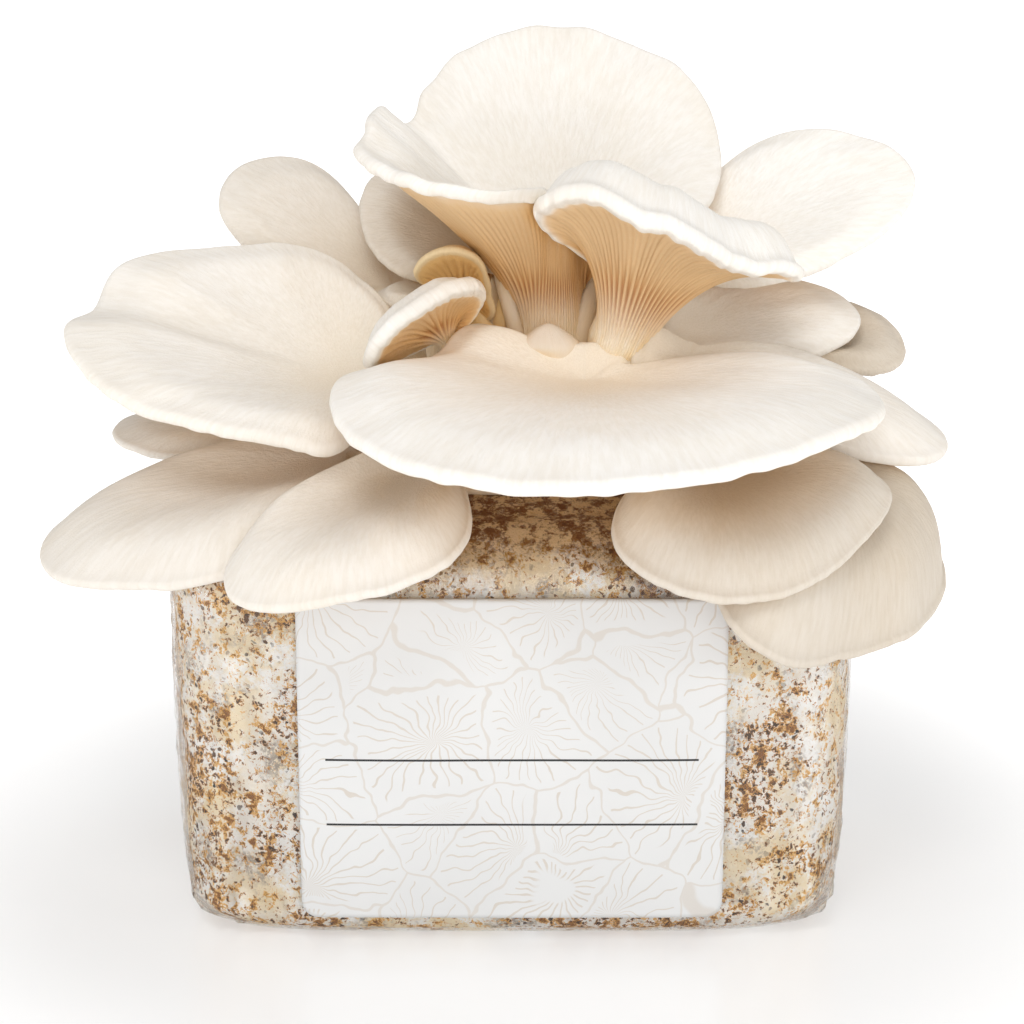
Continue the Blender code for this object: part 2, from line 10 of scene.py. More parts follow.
import bpy
import numpy as np
from mathutils.bvhtree import BVHTree
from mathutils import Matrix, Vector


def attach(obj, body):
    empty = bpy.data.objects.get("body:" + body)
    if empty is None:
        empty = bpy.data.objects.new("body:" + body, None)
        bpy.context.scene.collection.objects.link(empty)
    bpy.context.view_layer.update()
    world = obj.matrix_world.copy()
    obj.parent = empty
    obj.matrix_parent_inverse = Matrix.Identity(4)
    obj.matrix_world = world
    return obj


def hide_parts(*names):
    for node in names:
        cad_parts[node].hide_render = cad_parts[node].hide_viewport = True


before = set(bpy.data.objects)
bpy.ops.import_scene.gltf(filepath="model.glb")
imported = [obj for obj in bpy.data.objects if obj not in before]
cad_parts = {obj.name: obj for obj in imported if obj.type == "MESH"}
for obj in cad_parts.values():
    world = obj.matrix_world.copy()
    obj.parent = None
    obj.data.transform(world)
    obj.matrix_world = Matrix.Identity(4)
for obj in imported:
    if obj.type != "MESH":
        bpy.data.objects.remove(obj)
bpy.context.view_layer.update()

MM = 0.001

# The brick, the film round it, the label and the root mass, at the sizes of their solids.
BLOCK_HALF_WIDTH = 103.3
BLOCK_HALF_DEPTH = 61.3
BLOCK_TOP = 134.0
SHOULDER_WALL = 109.0  # the height where the walls turn into the shoulder
SHOULDER_RISE = 22.0
SHOULDER_INSET = (30.0, 22.0)
SHOULDER_STEPS = 14
FOOT_RADIUS = 10.0
WALL_INSETS = ((10.7, 3.0), (22.0, 1.5), (40.0, 0.5), (75.0, 0.0))  # height, how far in
WALL_POWER = 5.5  # exponents of the superellipses round the walls and the shoulder's top
SHOULDER_POWER = 3.6
CORNER_PULL = 3.0
FILM_GAP = 0.7
BAG_RIM_ANGLE = 45.0
LABEL_WIDTH = 127.0
LABEL_HEIGHT = 101.6
LABEL_BOTTOM = 9.0
LABEL_CORNER = 5.0
LABEL_FACE = 1.5  # how far the label's face and its rules stand off the bag
LABEL_THICKNESS = 1.3
LABEL_SPOKES = 26  # lines round each fan of its pattern
RULE_FACE = 1.54
RULE_LENGTH = 111.0
RULE_WIDTH = 0.65
RULE_HEIGHTS = (0.6, -20.0)  # from the label's centre
MOUND_CENTRE = (4.0, 0.0)
MOUND_HALF = (55.8, 29.76)
MOUND_HEIGHT = 24.0

# How finely each form is cut.
ROWS_TOP = 26
ROWS_MARGIN = 7
ROWS_UNDER = 30
ROWS_STEM = 12
COLUMNS_PER_GILL = 6
YOUNG_ROWS = 45
YOUNG_COLUMNS = 48
BRICK_COLUMNS = 340
FILM_COLUMNS = 420
MOUND_COLUMNS = 160

# What most caps have. See the list below for what each name means.
PLAIN_CAP = dict(
    edge=4, bowl=1.5, join=60, lift=0.5,
    wavy=0.4, scallop=0.03, painted_shade=0.0, lip=(), notches=(), folds=(), flat=(),
)

# Each fruitbody's form, as its solid has it, and then the finer things that are its own.
#   hub, base               the middle of its cap, and the foot of its stem
#   tilt                    which way the cap reaches out, how steeply, and how it leans
#   reach, rise             of the margin, at even steps round the cap from its heading
#   stem                    the stem's radius at its top and at its foot
#   edge, bowl, dome        thickness of the margin, how late the cap turns up, how it arches
#   join, drop, lift        the angle, length and start of the sweep from the cap into the stem
#   gills                   the number of full-length ones
#   wavy, scallop, painted_shade   how wavy it is, how uneven its margin is, how much painted shade darkens it
#   lip, notches, folds     (angle, half width, size): margin thicker, cut back, or creased
#   flat                    (angle, half width, share): it arches that much less there
FRUITBODIES = dict(
    # the tall back wall and the near lip of the crown, one funnel
    cap_crown=dict(
        hub=(13, 4, 201), base=(12, 5, 156), tilt=(90, 35, 0),
        reach=(76, 72, 62, 60, 57, 47, 31, 15, 12, 12, 12, 12, 19, 51, 72, 76),
        rise=(27, 26, 23, 41, 45, 52, 49.5, 42, 36, 34, 32, 30, 23, 3, 12, 23),
        stem=(10, 10.5), bowl=1.7, dome=3, join=46, drop=20, lift=0.4,
        gills=64, wavy=0.8, scallop=0.05, painted_shade=0.15,
        lip=((185, 60, 3), (100, 60, 2)), notches=((80, 8, 2.5), (46, 9, 2)), folds=((52, 13, 5.5),),
    ),
    # the funnel right of the crown, tipped so that its gills face the front
    cap_gilled=dict(
        hub=(39, -4, 196), base=(26, -6, 155), tilt=(-90, 32, -8),
        reach=(56, 48, 46, 52, 31, 17, 12, 11, 11, 11, 11, 11, 11, 22, 46, 56),
        rise=(1.5, -0.5, 0, 3, 13, 9, 8, 7, 6, 5, 4, 4, 4, 6, 8, 8),
        stem=(9.5, 6), bowl=1.0, dome=13, join=50, drop=16, lift=0.45,
        gills=64, wavy=0.8, scallop=0.045, lip=((0, 95, 2),),
    ),
    cap_right_up=dict(
        hub=(56, 20, 196), base=(38, 20, 148), tilt=(12, 15, 38),
        reach=(75, 59, 30, 11, 8, 8, 8, 8, 8, 9, 18, 42),
        rise=(8, 10.5, 4, -1, -1, -1, -1, 0, 1, 2, 4, 7.5),
        stem=(6, 6), dome=2, drop=8, gills=44,
    ),
    cap_left_up=dict(
        hub=(-38, 20, 187), base=(-20, 22, 146), tilt=(165, 22, -40),
        reach=(61, 16, 9, 7, 7, 7, 7, 7, 8, 11, 17, 58),
        rise=(4, -4, -2, -1, 0, 0, -1, -1, -2, -4, -5, 2),
        stem=(5.5, 6), dome=2, drop=8, gills=40, painted_shade=0.55,
    ),
    # the smooth cap under the crown's left lobe
    cap_inner_left=dict(
        hub=(-4, 17, 199), base=(-6, 16, 152), tilt=(178, 8, -45),
        reach=(43, 32, 11, 7, 5, 5, 5, 5, 5, 16, 40, 48),
        rise=(5, 6.5, 4, 2, 1, 0, 0, 0, 0, -1, -2, 0),
        stem=(3, 4.5), dome=2, drop=10, gills=36, painted_shade=0.75,
    ),
    # the widest cap, over the front
    cap_front=dict(
        hub=(22, -24, 167), base=(14, -14, 141), tilt=(-90, 0, 0),
        reach=(95, 93, 94, 92, 69, 22, 20, 17, 14, 15, 20, 38, 49, 79, 92, 95),
        rise=(-2.4, -1, 3.5, 4.5, 8, 4, 7.5, 11, 11.5, 11, 10, 17, 9, 10, 2, -2),
        stem=(10, 11), edge=5, dome=3, drop=6, gills=80, wavy=0.3,
    ),
    # the broad cap on the left
    cap_left=dict(
        hub=(-49, -18, 166), base=(-34, -6, 149), tilt=(180, 10, -25),
        reach=(87, 77, 61, 48, 39, 17, 11, 10, 10, 13, 20, 25, 35, 51, 63, 80),
        rise=(9, 10, 12.5, 13, 9, 7, 8, 8, 8, 9, 12, 13, 14, 14.5, 12.5, 9),
        stem=(8, 9), edge=5, dome=3, drop=6,
        gills=64, wavy=0.3, painted_shade=0.2, notches=((352, 12, 5),), folds=((351, 13, 5),),
    ),
    # the cap right of the gilled one
    cap_right_mid=dict(
        hub=(50, 12, 173), base=(48, 10, 142), tilt=(8, 0, 45),
        reach=(59, 43, 21, 13, 9, 6, 6, 6, 6, 6, 8, 23),
        rise=(7, 2, 3, 3, 1, -1, -1, 0, 0, 0, 1, 3),
        stem=(3.2, 4.5), dome=3, join=75, drop=9, gills=40, painted_shade=0.3,
    ),
    # the small one behind it
    cap_right_back=dict(
        hub=(91, 24, 169), base=(47, 12, 142), tilt=(0, -10, 30),
        reach=(34, 27, 19, 10, 9, 11, 14, 20),
        rise=(5, 5, -1, 0, 0, 0, 4, 6),
        stem=(4.5, 5), dome=3, drop=6, gills=28, painted_shade=0.95,
    ),
    # the long one under both
    cap_right_low=dict(
        hub=(54, -10, 171), base=(48, -6, 142), tilt=(-6, -12, 12),
        reach=(83, 39, 12, 9, 8, 10, 15, 18, 11, 10, 13, 34),
        rise=(-7, 2, 2, 3, 4, 6, 8, -1, -3, -3, -4, -5),
        stem=(4, 5), dome=4, drop=8, gills=40, painted_shade=0.35,
    ),
    cap_droop_right=dict(
        hub=(56, -44, 145), base=(34, -22, 142), tilt=(-60, -25, 0),
        reach=(53, 53, 53, 17, 6, 6, 6, 6, 6, 17, 51, 53),
        rise=(0, 7, 11, 4, 4, 4, 4, 4, 4, 5, 3, -2.5),
        stem=(4.5, 4.5), edge=3.5, dome=7, join=30, drop=5, gills=40, painted_shade=0.8,
    ),
    cap_droop_right_back=dict(
        hub=(84, -22, 142.5), base=(50, -15, 141), tilt=(-35, -30, 8),
        reach=(62, 57, 28, 9, 6, 6, 6, 6, 9, 38, 76, 66),
        rise=(-13, -11, -5, 2, 2, 2, 2, 2, 3, 2, -8, -14),
        stem=(2.6, 3.5), edge=3.5, dome=14, join=30, drop=2.5,
        gills=40, painted_shade=0.9, flat=((278, 45, 0.7),),
    ),
    cap_droop_left_back=dict(
        hub=(-50, -30, 146.5), base=(-40, -10, 142), tilt=(187, -22, -10),
        reach=(94, 73, 39, 17, 12, 11, 12, 14, 15, 15, 18, 32),
        rise=(13, 4, -4, -10, -12, -11, -8, 0, 4, 6, 7, 10),
        stem=(4, 4.5), edge=3.5, dome=8, join=20, drop=7, gills=40, painted_shade=0.4,
    ),
    cap_droop_left=dict(
        hub=(-30, -42, 143.5), base=(-22, -24, 142), tilt=(-139, -26, 0),
        reach=(71, 60, 47, 24, 14, 11, 10, 10, 9, 9, 11, 18),
        rise=(13, 3.5, -1, -2, -2, -2, -1, 2, 5, 9, 11, 14),
        stem=(4.5, 4.5), edge=3.5, dome=7, join=30, drop=5, gills=40, painted_shade=0.35,
    ),
    cap_left_under=dict(
        hub=(-76, 4, 148), base=(-42, 5, 143), tilt=(180, -4, -15),
        reach=(49, 23, 10, 7, 7, 9, 13, 25),
        rise=(2, 0, -2, 1, 1, 1, -2, -3),
        stem=(3.5, 4), edge=3, dome=2, join=20, drop=6, gills=28, painted_shade=0.35,
    ),
    cap_edge_on=dict(
        hub=(-23, -8, 181), base=(-13, -12, 155), tilt=(-35, 53, 0),
        reach=(20, 5, 3, 4, 6, 16, 37, 29),
        rise=(1, 1, 1, 1, 1, 3, 1, 2),
        stem=(3, 3.5), edge=3, dome=3, drop=5, gills=28, lip=((0, 180, 3),),
    ),
    cap_tan_curled=dict(
        hub=(-15, 4, 191), base=(-12, 2, 152), tilt=(-95, 53, 0),
        reach=(22, 12, 9, 12, 6, 4, 6, 19),
        rise=(-3, -2, -2, -4, -1, 0, 0, -4),
        stem=(2.5, 2.5), edge=2.5, dome=3, drop=6, gills=20,
    ),
    # young and tan, a thin flat tongue
    cap_tan_tongue=dict(
        hub=(-27, 8, 188), base=(-22, 7, 150), tilt=(185, 0, -20),
        reach=(15, 10, 6, 5, 5, 8, 9, 10),
        rise=(0, 1, 1, 1, 0, -1, -1, 0),
        stem=(2, 3), edge=2.5, dome=1, drop=4, gills=16, painted_shade=0.5,
    ),
)

# Young ones between the stems: base, tip, sideways bend, and (fraction of length, radius) pairs.
YOUNG = dict(
    young_cap_tan=dict(
        base=(-8, -6, 152), tip=(-11, -4, 184), bend=(2, 0, 0),
        profile=((0.0, 2.2), (0.5, 2.4), (0.66, 5.2), (0.8, 5.4), (0.93, 3.2)),
    ),
    young_bud_tan=dict(
        base=(-3, 4, 152), tip=(-4, 4, 186),
        profile=((0.0, 1.8), (0.55, 1.8), (0.7, 2.4), (0.85, 2.3), (0.96, 1.2)),
    ),
    young_cap_grey=dict(
        base=(-6, 11, 152), tip=(-6, 13, 191), bend=(2, 0, 0),
        profile=((0.0, 1.5), (0.7, 1.4), (0.84, 2.8), (0.93, 2.5), (0.98, 1.2)),
    ),
    young_bud_pale=dict(
        base=(7, -1, 152), tip=(-5.5, 4, 201), bend=(0.5, 0, 0),
        profile=((0.0, 2.6), (0.4, 2.5), (0.8, 2.2), (0.95, 1.9)),
    ),
    young_button=dict(
        base=(11, -11, 152), tip=(11, -11, 181.5), depth=0.62,
        profile=((0.0, 6.5), (0.5, 8.0), (0.68, 9.9), (0.82, 9.6), (0.94, 6.6)),
    ),
    young_stem_pale=dict(
        base=(20, -5, 152), tip=(27, 7, 195), bend=(-2, 0, 0),
        profile=((0.0, 3.0), (0.5, 3.4), (0.8, 3.6), (0.94, 2.8)),
    ),
    young_cap_pale=dict(
        base=(-30, 3, 147), tip=(-35, 3, 184), bend=(-2, 0, 0),
        profile=((0.0, 1.6), (0.7, 1.5), (0.84, 4.2), (0.93, 4.0), (0.98, 2.0)),
    ),
)
# The middle of the cluster, where painted shade makes the flesh warmer, and how far that goes along
# X, Y, Z.
CORE = np.array([4.0, 2.0, 168.0])
CORE_SIZE = np.array([62.0, 42.0, 34.0])

WAVE_CAP_SIZE = 90.0  # the reach of a cap whose waves are wavy millimetres high
GILL_DEPTH = 2.2  # of the deepest gills
GILL_SHARE = 0.75  # of the space between two gills, where that is less
GILL_SHARPNESS = 1.6

FIRST_YOUNG_SEED = 300
TAN = ("cap_tan_curled", "young_cap_tan", "young_bud_tan")  # the ones of tan flesh


def unit(vector):
    """The vector or vectors at length one."""
    return vector / np.maximum(np.linalg.norm(vector, axis=-1, keepdims=True), 1e-9)


def smooth(low, high, value):
    """Zero below low, one above high, and a smooth step between."""
    part = np.clip((value - low) / (high - low), 0.0, 1.0)
    return part * part * (3 - 2 * part)


def bump(centre, half_width, angle):
    """A smooth hump of height one round an angle, in degrees, zero beyond half_width."""
    away = np.abs((np.degrees(angle) - centre + 180.0) % 360.0 - 180.0)
    return smooth(half_width, 0.0, away)


def ripple(angle, seed, orders, falloff=1.0):
    """A closed wave round a full turn, of about unit size, that differs with the seed."""
    chance = np.random.default_rng(seed)
    total = np.zeros_like(angle)
    for order in orders:
        phase = chance.uniform(0.0, math.tau)
        size = chance.uniform(0.5, 1.0) / order**falloff
        total = total + size * np.sin(order * angle + phase)
    return total * orders[0] ** falloff


def around(values, angle):
    """A smooth closed curve through values given at even steps of a full turn (Catmull-Rom)."""
    values = np.asarray(values, float)
    count = len(values)
    place = (angle / math.tau * count) % count
    step = np.floor(place).astype(int)
    part = place - step
    before = values[(step - 1) % count]
    here = values[step % count]
    after = values[(step + 1) % count]
    beyond = values[(step + 2) % count]
    return 0.5 * (
        2 * here
        + (after - before) * part
        + (2 * before - 5 * here + 4 * after - beyond) * part**2
        + (3 * here - before - 3 * after + beyond) * part**3
    )


def cap_axes(heading, pitch, roll):
    """Unit vectors of a cap: along its heading, to its left, and up through it."""
    turn = math.radians(heading)
    lift = math.radians(pitch)
    lean = math.radians(roll)
    level = np.array([-math.sin(turn), math.cos(turn), 0.0])
    forward = np.array([math.cos(turn), math.sin(turn), 0.0])
    along = forward * math.cos(lift) + np.array([0.0, 0.0, math.sin(lift)])
    up = np.cross(along, level)
    side = math.cos(lean) * level + math.sin(lean) * up
    return along, side, np.cross(along, side)


def mesh_object(name, points, faces, values=None):
    """A smooth-shaded mesh piece on the root body. Points are in millimetres.

    values holds one number, or one vector, for each point under the name a material reads.
    """
    mesh = bpy.data.meshes.new(name)
    corners = [face for block in faces for face in block.tolist()]
    mesh.from_pydata((points * MM).tolist(), [], corners)
    mesh.validate()
    mesh.shade_smooth()
    for key, numbers in (values or {}).items():
        flat = np.asarray(numbers, np.float32)
        kind = "FLOAT_VECTOR" if flat.ndim == 2 else "FLOAT"
        layer = mesh.attributes.new(key, kind, "POINT")
        layer.data.foreach_set("vector" if flat.ndim == 2 else "value", flat.ravel())
    piece = bpy.data.objects.new(name, mesh)
    bpy.context.scene.collection.objects.link(piece)
    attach(piece, "root")
    return piece


def closed_faces(rows, columns):
    """Faces of a closed form: a top pole, rows of columns points, and a bottom pole."""
    here = np.arange(columns)
    after = (here + 1) % columns
    cap = np.stack([np.zeros(columns, int), 1 + here, 1 + after], axis=1)
    row = 1 + columns * np.arange(rows - 1)[:, None]
    sides = np.stack(
        [row + here, row + columns + here, row + columns + after, row + after], axis=-1
    ).reshape(-1, 4)
    last = 1 + columns * (rows - 1)
    end = np.full(columns, last + columns)
    foot = np.stack([last + here, end, last + after], axis=1)
    return [cap, sides, foot]


GRIDS = {}  # the grid of each closed piece, by name, which shelter() reads


def closed_piece(name, top, grid, bottom, values=None):
    """A closed piece from a grid of points (rows from the top down, columns round).

    A value is one number, or one for each row, or one or a vector for each point.
    """
    rows, columns, _ = grid.shape
    GRIDS[name] = grid
    points = np.concatenate([[top], grid.reshape(-1, 3), [bottom]])
    spread = {}
    for key, numbers in (values or {}).items():
        numbers = np.asarray(numbers, float)
        flat = np.broadcast_to(numbers, (rows, columns, *numbers.shape[2:]))
        flat = flat.reshape(rows * columns, -1)
        flat = np.concatenate([flat[:columns].mean(0)[None], flat, flat[-columns:].mean(0)[None]])
        spread[key] = flat[:, 0] if flat.shape[1] == 1 else flat
    return mesh_object(name, points, closed_faces(rows, columns), spread)


def grid_normals(grid):
    """Outward normals of a grid of points whose columns close on themselves."""
    down = np.gradient(grid, axis=0)
    across = np.roll(grid, -1, axis=1) - np.roll(grid, 1, axis=1)
    return unit(np.cross(down, across))


def cap_face(form, seed, angle, hub, out, up):
    """(the cap's upper face as a function of the share of the way out, margin thickness, reach)."""
    edge = np.full(len(angle), float(form["edge"]))
    for centre, width, thickness in form["lip"]:
        edge += thickness * bump(centre, width, angle)
    reach = around(form["reach"], angle) - 0.4 * form["edge"]
    rise = around(form["rise"], angle)
    size = reach.max()
    wide = np.clip(1.5 * reach / size, 0.0, 1.0)
    waves = wide * form["wavy"] * size / WAVE_CAP_SIZE
    reach = reach + waves * (
        ripple(angle, seed, (7, 9, 12)) + 0.3 * ripple(angle, seed + 50, (19, 26, 33))
    )
    rise = rise + waves * ripple(angle, seed + 100, (5, 8, 11, 15))
    for centre, width, depth in form["notches"]:
        reach = reach - depth * bump(centre, width, angle)
    # 6.75 makes the cubic in upper() one at its highest, so dome is the height of the arch.
    arch = 6.75 * form["dome"] * np.minimum(1.5 * reach / size, 1.0)
    for centre, width, share in form["flat"]:
        arch = arch * (1 - share * bump(centre, width, angle))

    def upper(share):
        height = rise * share ** form["bowl"] + arch * share**2 * (1 - share)
        for centre, width, depth in form["folds"]:
            height = height - depth * bump(centre, width, angle) * smooth(0.1, 0.7, share)
        height = height + waves * share**2 * ripple(
            angle + 0.4 * share, seed + 150, (9, 14, 21, 30), 0.6
        )
        height = height - 0.5 * edge * smooth(0.74, 1.0, share) ** 2
        return hub + out * (reach * share)[:, None] + up * height[:, None]

    scallops = wide * ripple(angle, seed + 170, (37, 51, 64), 0.2)
    return upper, edge * (1 + form["scallop"] * scallops), size


def ring(centre, radius, angle, first, second):
    """A circle of points, or an ellipse, from its two directions."""
    return centre + radius * (np.cos(angle)[:, None] * first + np.sin(angle)[:, None] * second)


def cap_margin(margin, edge, out, up):
    """Rows round the rolled margin, from the last row of the upper face."""
    rows = []
    for step in range(1, ROWS_MARGIN + 1):
        turn = math.pi * step / (ROWS_MARGIN + 1)
        outward = (edge / 2 * math.sin(turn))[:, None]
        down = (edge / 2 * (1 - math.cos(turn)))[:, None]
        rows.append(margin + out * outward - up * down)
    return rows


def cap_underside(start, near_cap, near_stem, neck_ring):
    """Rows of the underside, each point on a curve from the margin down to the neck."""
    rows = []
    for step in range(ROWS_UNDER):
        t = step / ROWS_UNDER
        rows.append(
            (1 - t) ** 3 * start
            + 3 * (1 - t) ** 2 * t * near_cap
            + 3 * (1 - t) * t**2 * near_stem
            + t**3 * neck_ring
        )
    return rows


def cap_stem(radii, neck, base, axis, forward, turned, lumps):
    """Rows of the bent stem, from its neck to its foot."""
    stem_top, stem_base = radii
    bend = neck - axis * (0.45 * np.linalg.norm(neck - base))
    rows = []
    for step in range(ROWS_STEM + 1):
        t = step / ROWS_STEM
        centre = (1 - t) ** 2 * neck + 2 * (1 - t) * t * bend + t**2 * base
        upward = -unit(2 * (1 - t) * (bend - neck) + 2 * t * (base - bend))
        first = unit(forward - (forward @ upward) * upward)
        radius = stem_top + (stem_base - stem_top) * t
        radius = radius * (1 + 0.05 * smooth(0.0, 0.5, t) * lumps)[:, None]
        rows.append(ring(centre, radius, turned, first, np.cross(upward, first)))
    return rows


def with_gills(form, seed, angle, grid, down_row, under):
    """(the grid with its gills raised, how deep in a valley between gills each point is)."""
    on_stem = np.clip((down_row - ROWS_UNDER) / ROWS_STEM, 0.0, 1.0)[:, None]
    meander = 0.5 * ripple(angle, seed + 250, (6, 10, 13))[None, :]
    phase = form["gills"] * angle[None, :] / 2 + meander * under
    # Full-length gills, with a short one between each two near the margin.
    long_gill = np.abs(np.cos(phase)) ** GILL_SHARPNESS
    short_gill = np.abs(np.sin(phase)) ** GILL_SHARPNESS * smooth(0.75, 0.35, under)
    crest = np.maximum(long_gill, short_gill)
    spacing = np.linalg.norm(np.roll(grid, -1, axis=1) - grid, axis=2) * COLUMNS_PER_GILL
    depth = np.minimum(GILL_DEPTH, GILL_SHARE * spacing)
    shown = smooth(0.02, 0.10, under) * (1 - 0.6 * smooth(0.45, 1.0, under))
    shown = shown * (1 - 0.9 * on_stem**0.45) * (down_row >= 0)[:, None]
    moved = grid + grid_normals(grid) * ((crest - 0.6) * depth * shown)[:, :, None]
    return moved, (1 - crest) * shown


def flesh_values(form, seed, angle, grid, down_row, under, size):
    """What the flesh's material reads at each point, apart from its gills and the painted shade of
    closed-in places.
    """
    below = (down_row >= 0)[:, None]
    distance = np.linalg.norm(grid - np.array(form["hub"], float), axis=2)
    inner = np.linalg.norm((grid - CORE) / CORE_SIZE, axis=2)
    # Warmth: the hub's own creamier colour, and painted shade towards the middle of the cluster.
    warmth_and_shade = 0.75 * np.exp(-((distance / (0.30 * size + 5.0)) ** 2)) + 0.8 * np.exp(-(inner**2))
    warmth_and_shade = warmth_and_shade * np.where(below, 1.0, 0.7)
    # The streaks run outward: their pattern changes fast round the cap and slowly along it.
    spread = distance / (distance + 14.0)
    outward = distance / size * 0.12 + 3.0 * below + seed
    # Painted shade on some caps, a quarter weaker towards the margin.
    fade = 1 - 0.25 * smooth(0.35, 0.95, distance / size)
    return dict(
        underside=smooth(-0.5, 1.5, down_row)[:, None],
        stem=smooth(0.5, 1.0, under),
        warmth_and_shade=np.clip(warmth_and_shade, 0.0, 1.0),
        painted_shade=form["painted_shade"] * fade,
        streak=np.stack([np.cos(angle) * spread, np.sin(angle) * spread, outward], axis=2),
    )


def fruitbody(name, form, seed):
    """One mushroom: a smooth cap with a rolled margin, real gills under it, and its stem."""
    form = {**PLAIN_CAP, **form}
    angle = np.linspace(0.0, math.tau, COLUMNS_PER_GILL * form["gills"], endpoint=False)
    along, side, up = cap_axes(*form["tilt"])
    out = np.cos(angle)[:, None] * along + np.sin(angle)[:, None] * side
    hub = np.array(form["hub"], float)
    base = np.array(form["base"], float)
    upper, edge, size = cap_face(form, seed, angle, hub, out, up)
    rows = [upper(share) for share in (np.arange(1, ROWS_TOP + 1) / ROWS_TOP) ** 0.9]
    margin = rows[-1]
    rows += cap_margin(margin, edge, out, up)

    stem_top = form["stem"][0]
    away = hub - base
    away = unit(away - (away @ up) * up)
    turned = angle - math.atan2(away @ side, away @ along)
    lean = math.radians(form["join"])
    axis = math.cos(lean) * away + math.sin(lean) * up
    forward = math.sin(lean) * away - math.cos(lean) * up
    neck = hub - axis * form["drop"] - up * (stem_top * math.cos(lean) + 0.3 * form["edge"])
    neck_ring = ring(neck, stem_top, turned, forward, np.cross(axis, forward))
    start = margin - up * edge[:, None] - out * (0.25 * edge)[:, None]
    near_cap = upper(form["lift"]) - up * (0.75 * form["edge"] + 1.0)
    near_stem = neck_ring + axis * (form["drop"] / 2)
    rows += cap_underside(start, near_cap, near_stem, neck_ring)
    lumps = ripple(angle, seed + 200, (2, 3, 5))
    rows += cap_stem(form["stem"], neck, base, axis, forward, turned, lumps)

    grid = np.array(rows)
    down_row = np.arange(len(grid)) - (ROWS_TOP + ROWS_MARGIN)
    under = np.clip(down_row / ROWS_UNDER, 0.0, 1.0)[:, None]
    # The share of valley between the gills, which the material paints as shade.
    moved, valley = with_gills(form, seed, angle, grid, down_row, under)
    values = flesh_values(form, seed, angle, grid, down_row, under, size)
    return closed_piece(name + "_skin", hub, moved, base, dict(gill_valley_shade=valley, **values))


def young_one(name, form, seed):
    """A pin, bud or button: a profile turned about a gently bent axis, with small lumps."""
    base = np.array(form["base"], float)
    tip = np.array(form["tip"], float)
    bend = np.array(form.get("bend", (0, 0, 0)), float)
    axis = unit(tip - base)
    first = unit(np.cross((0.0, 1.0, 0.0), axis))
    second = np.cross(axis, first) * form.get("depth", 1.0)
    angle = np.linspace(0.0, math.tau, YOUNG_COLUMNS, endpoint=False)
    shares, radii = np.transpose(form["profile"])
    fine = np.linspace(0.0, 1.0, YOUNG_ROWS)
    soft = np.interp(fine, shares, radii)
    soft = np.convolve(np.pad(soft, 2, mode="edge"), np.ones(5) / 5, mode="valid")
    # The tip, from 0.76 of the length on, is rounded off like the end of an ellipse.
    soft = soft * np.sqrt(1 - (np.clip(fine - 0.76, 0.0, 0.235) / 0.24) ** 2)
    lumps = 1 + 0.05 * ripple(angle, seed, (2, 3, 5))
    rows = []
    for share, radius in zip(fine[::-1], soft[::-1]):
        centre = base + (tip - base) * share + bend * math.sin(math.pi * share)
        rows.append(ring(centre, (radius * lumps)[:, None], angle, first, second))
    grid = np.array(rows)
    level = np.ones(grid.shape[:2])
    streak = [level * np.cos(angle), level * np.sin(angle), grid[:, :, 2] * 0.004 + seed]
    values = dict(
        gill_valley_shade=0.0,
        underside=0.3,
        warmth_and_shade=np.linspace(0.2, 0.9, len(rows))[:, None],
        streak=np.stack(streak, axis=2),
    )
    return closed_piece(name + "_skin", tip + axis * 0.3, grid, base, values)


def field(points, cell, seed):
    """Smooth noise from -1 to 1 at the points, whose lumps are about cell long along X, Y, Z."""
    size = 48
    lattice = np.random.default_rng(seed).uniform(-1.0, 1.0, (size, size, size))
    place = np.asarray(points) / np.asarray(cell, float)
    low = np.floor(place).astype(int)
    part = place - low
    part = part * part * (3 - 2 * part)
    total = np.zeros(place.shape[:-1])
    for corner in np.ndindex(2, 2, 2):
        weight = np.ones(place.shape[:-1])
        for axis, step in enumerate(corner):
            weight = weight * (part[..., axis] if step else 1 - part[..., axis])
        index = [(low[..., axis] + corner[axis]) % size for axis in range(3)]
        total = total + weight * lattice[index[0], index[1], index[2]]
    return total


def rounded_ring(half_x, half_y, height, power, columns, centre=(0.0, 0.0)):
    """A level ring of points on a superellipse, spaced evenly along its length."""
    fine = np.linspace(0.0, math.tau, 4001)
    cosine = np.cos(fine)
    sine = np.sin(fine)
    x = half_x * np.sign(cosine) * np.abs(cosine) ** (2 / power)
    y = half_y * np.sign(sine) * np.abs(sine) ** (2 / power)
    length = np.concatenate([[0.0], np.cumsum(np.hypot(np.diff(x), np.diff(y)))])
    even = np.linspace(0.0, length[-1], columns, endpoint=False)
    x = centre[0] + np.interp(even, length, x)
    y = centre[1] + np.interp(even, length, y)
    return np.stack([x, y, np.full(columns, height)], axis=1)


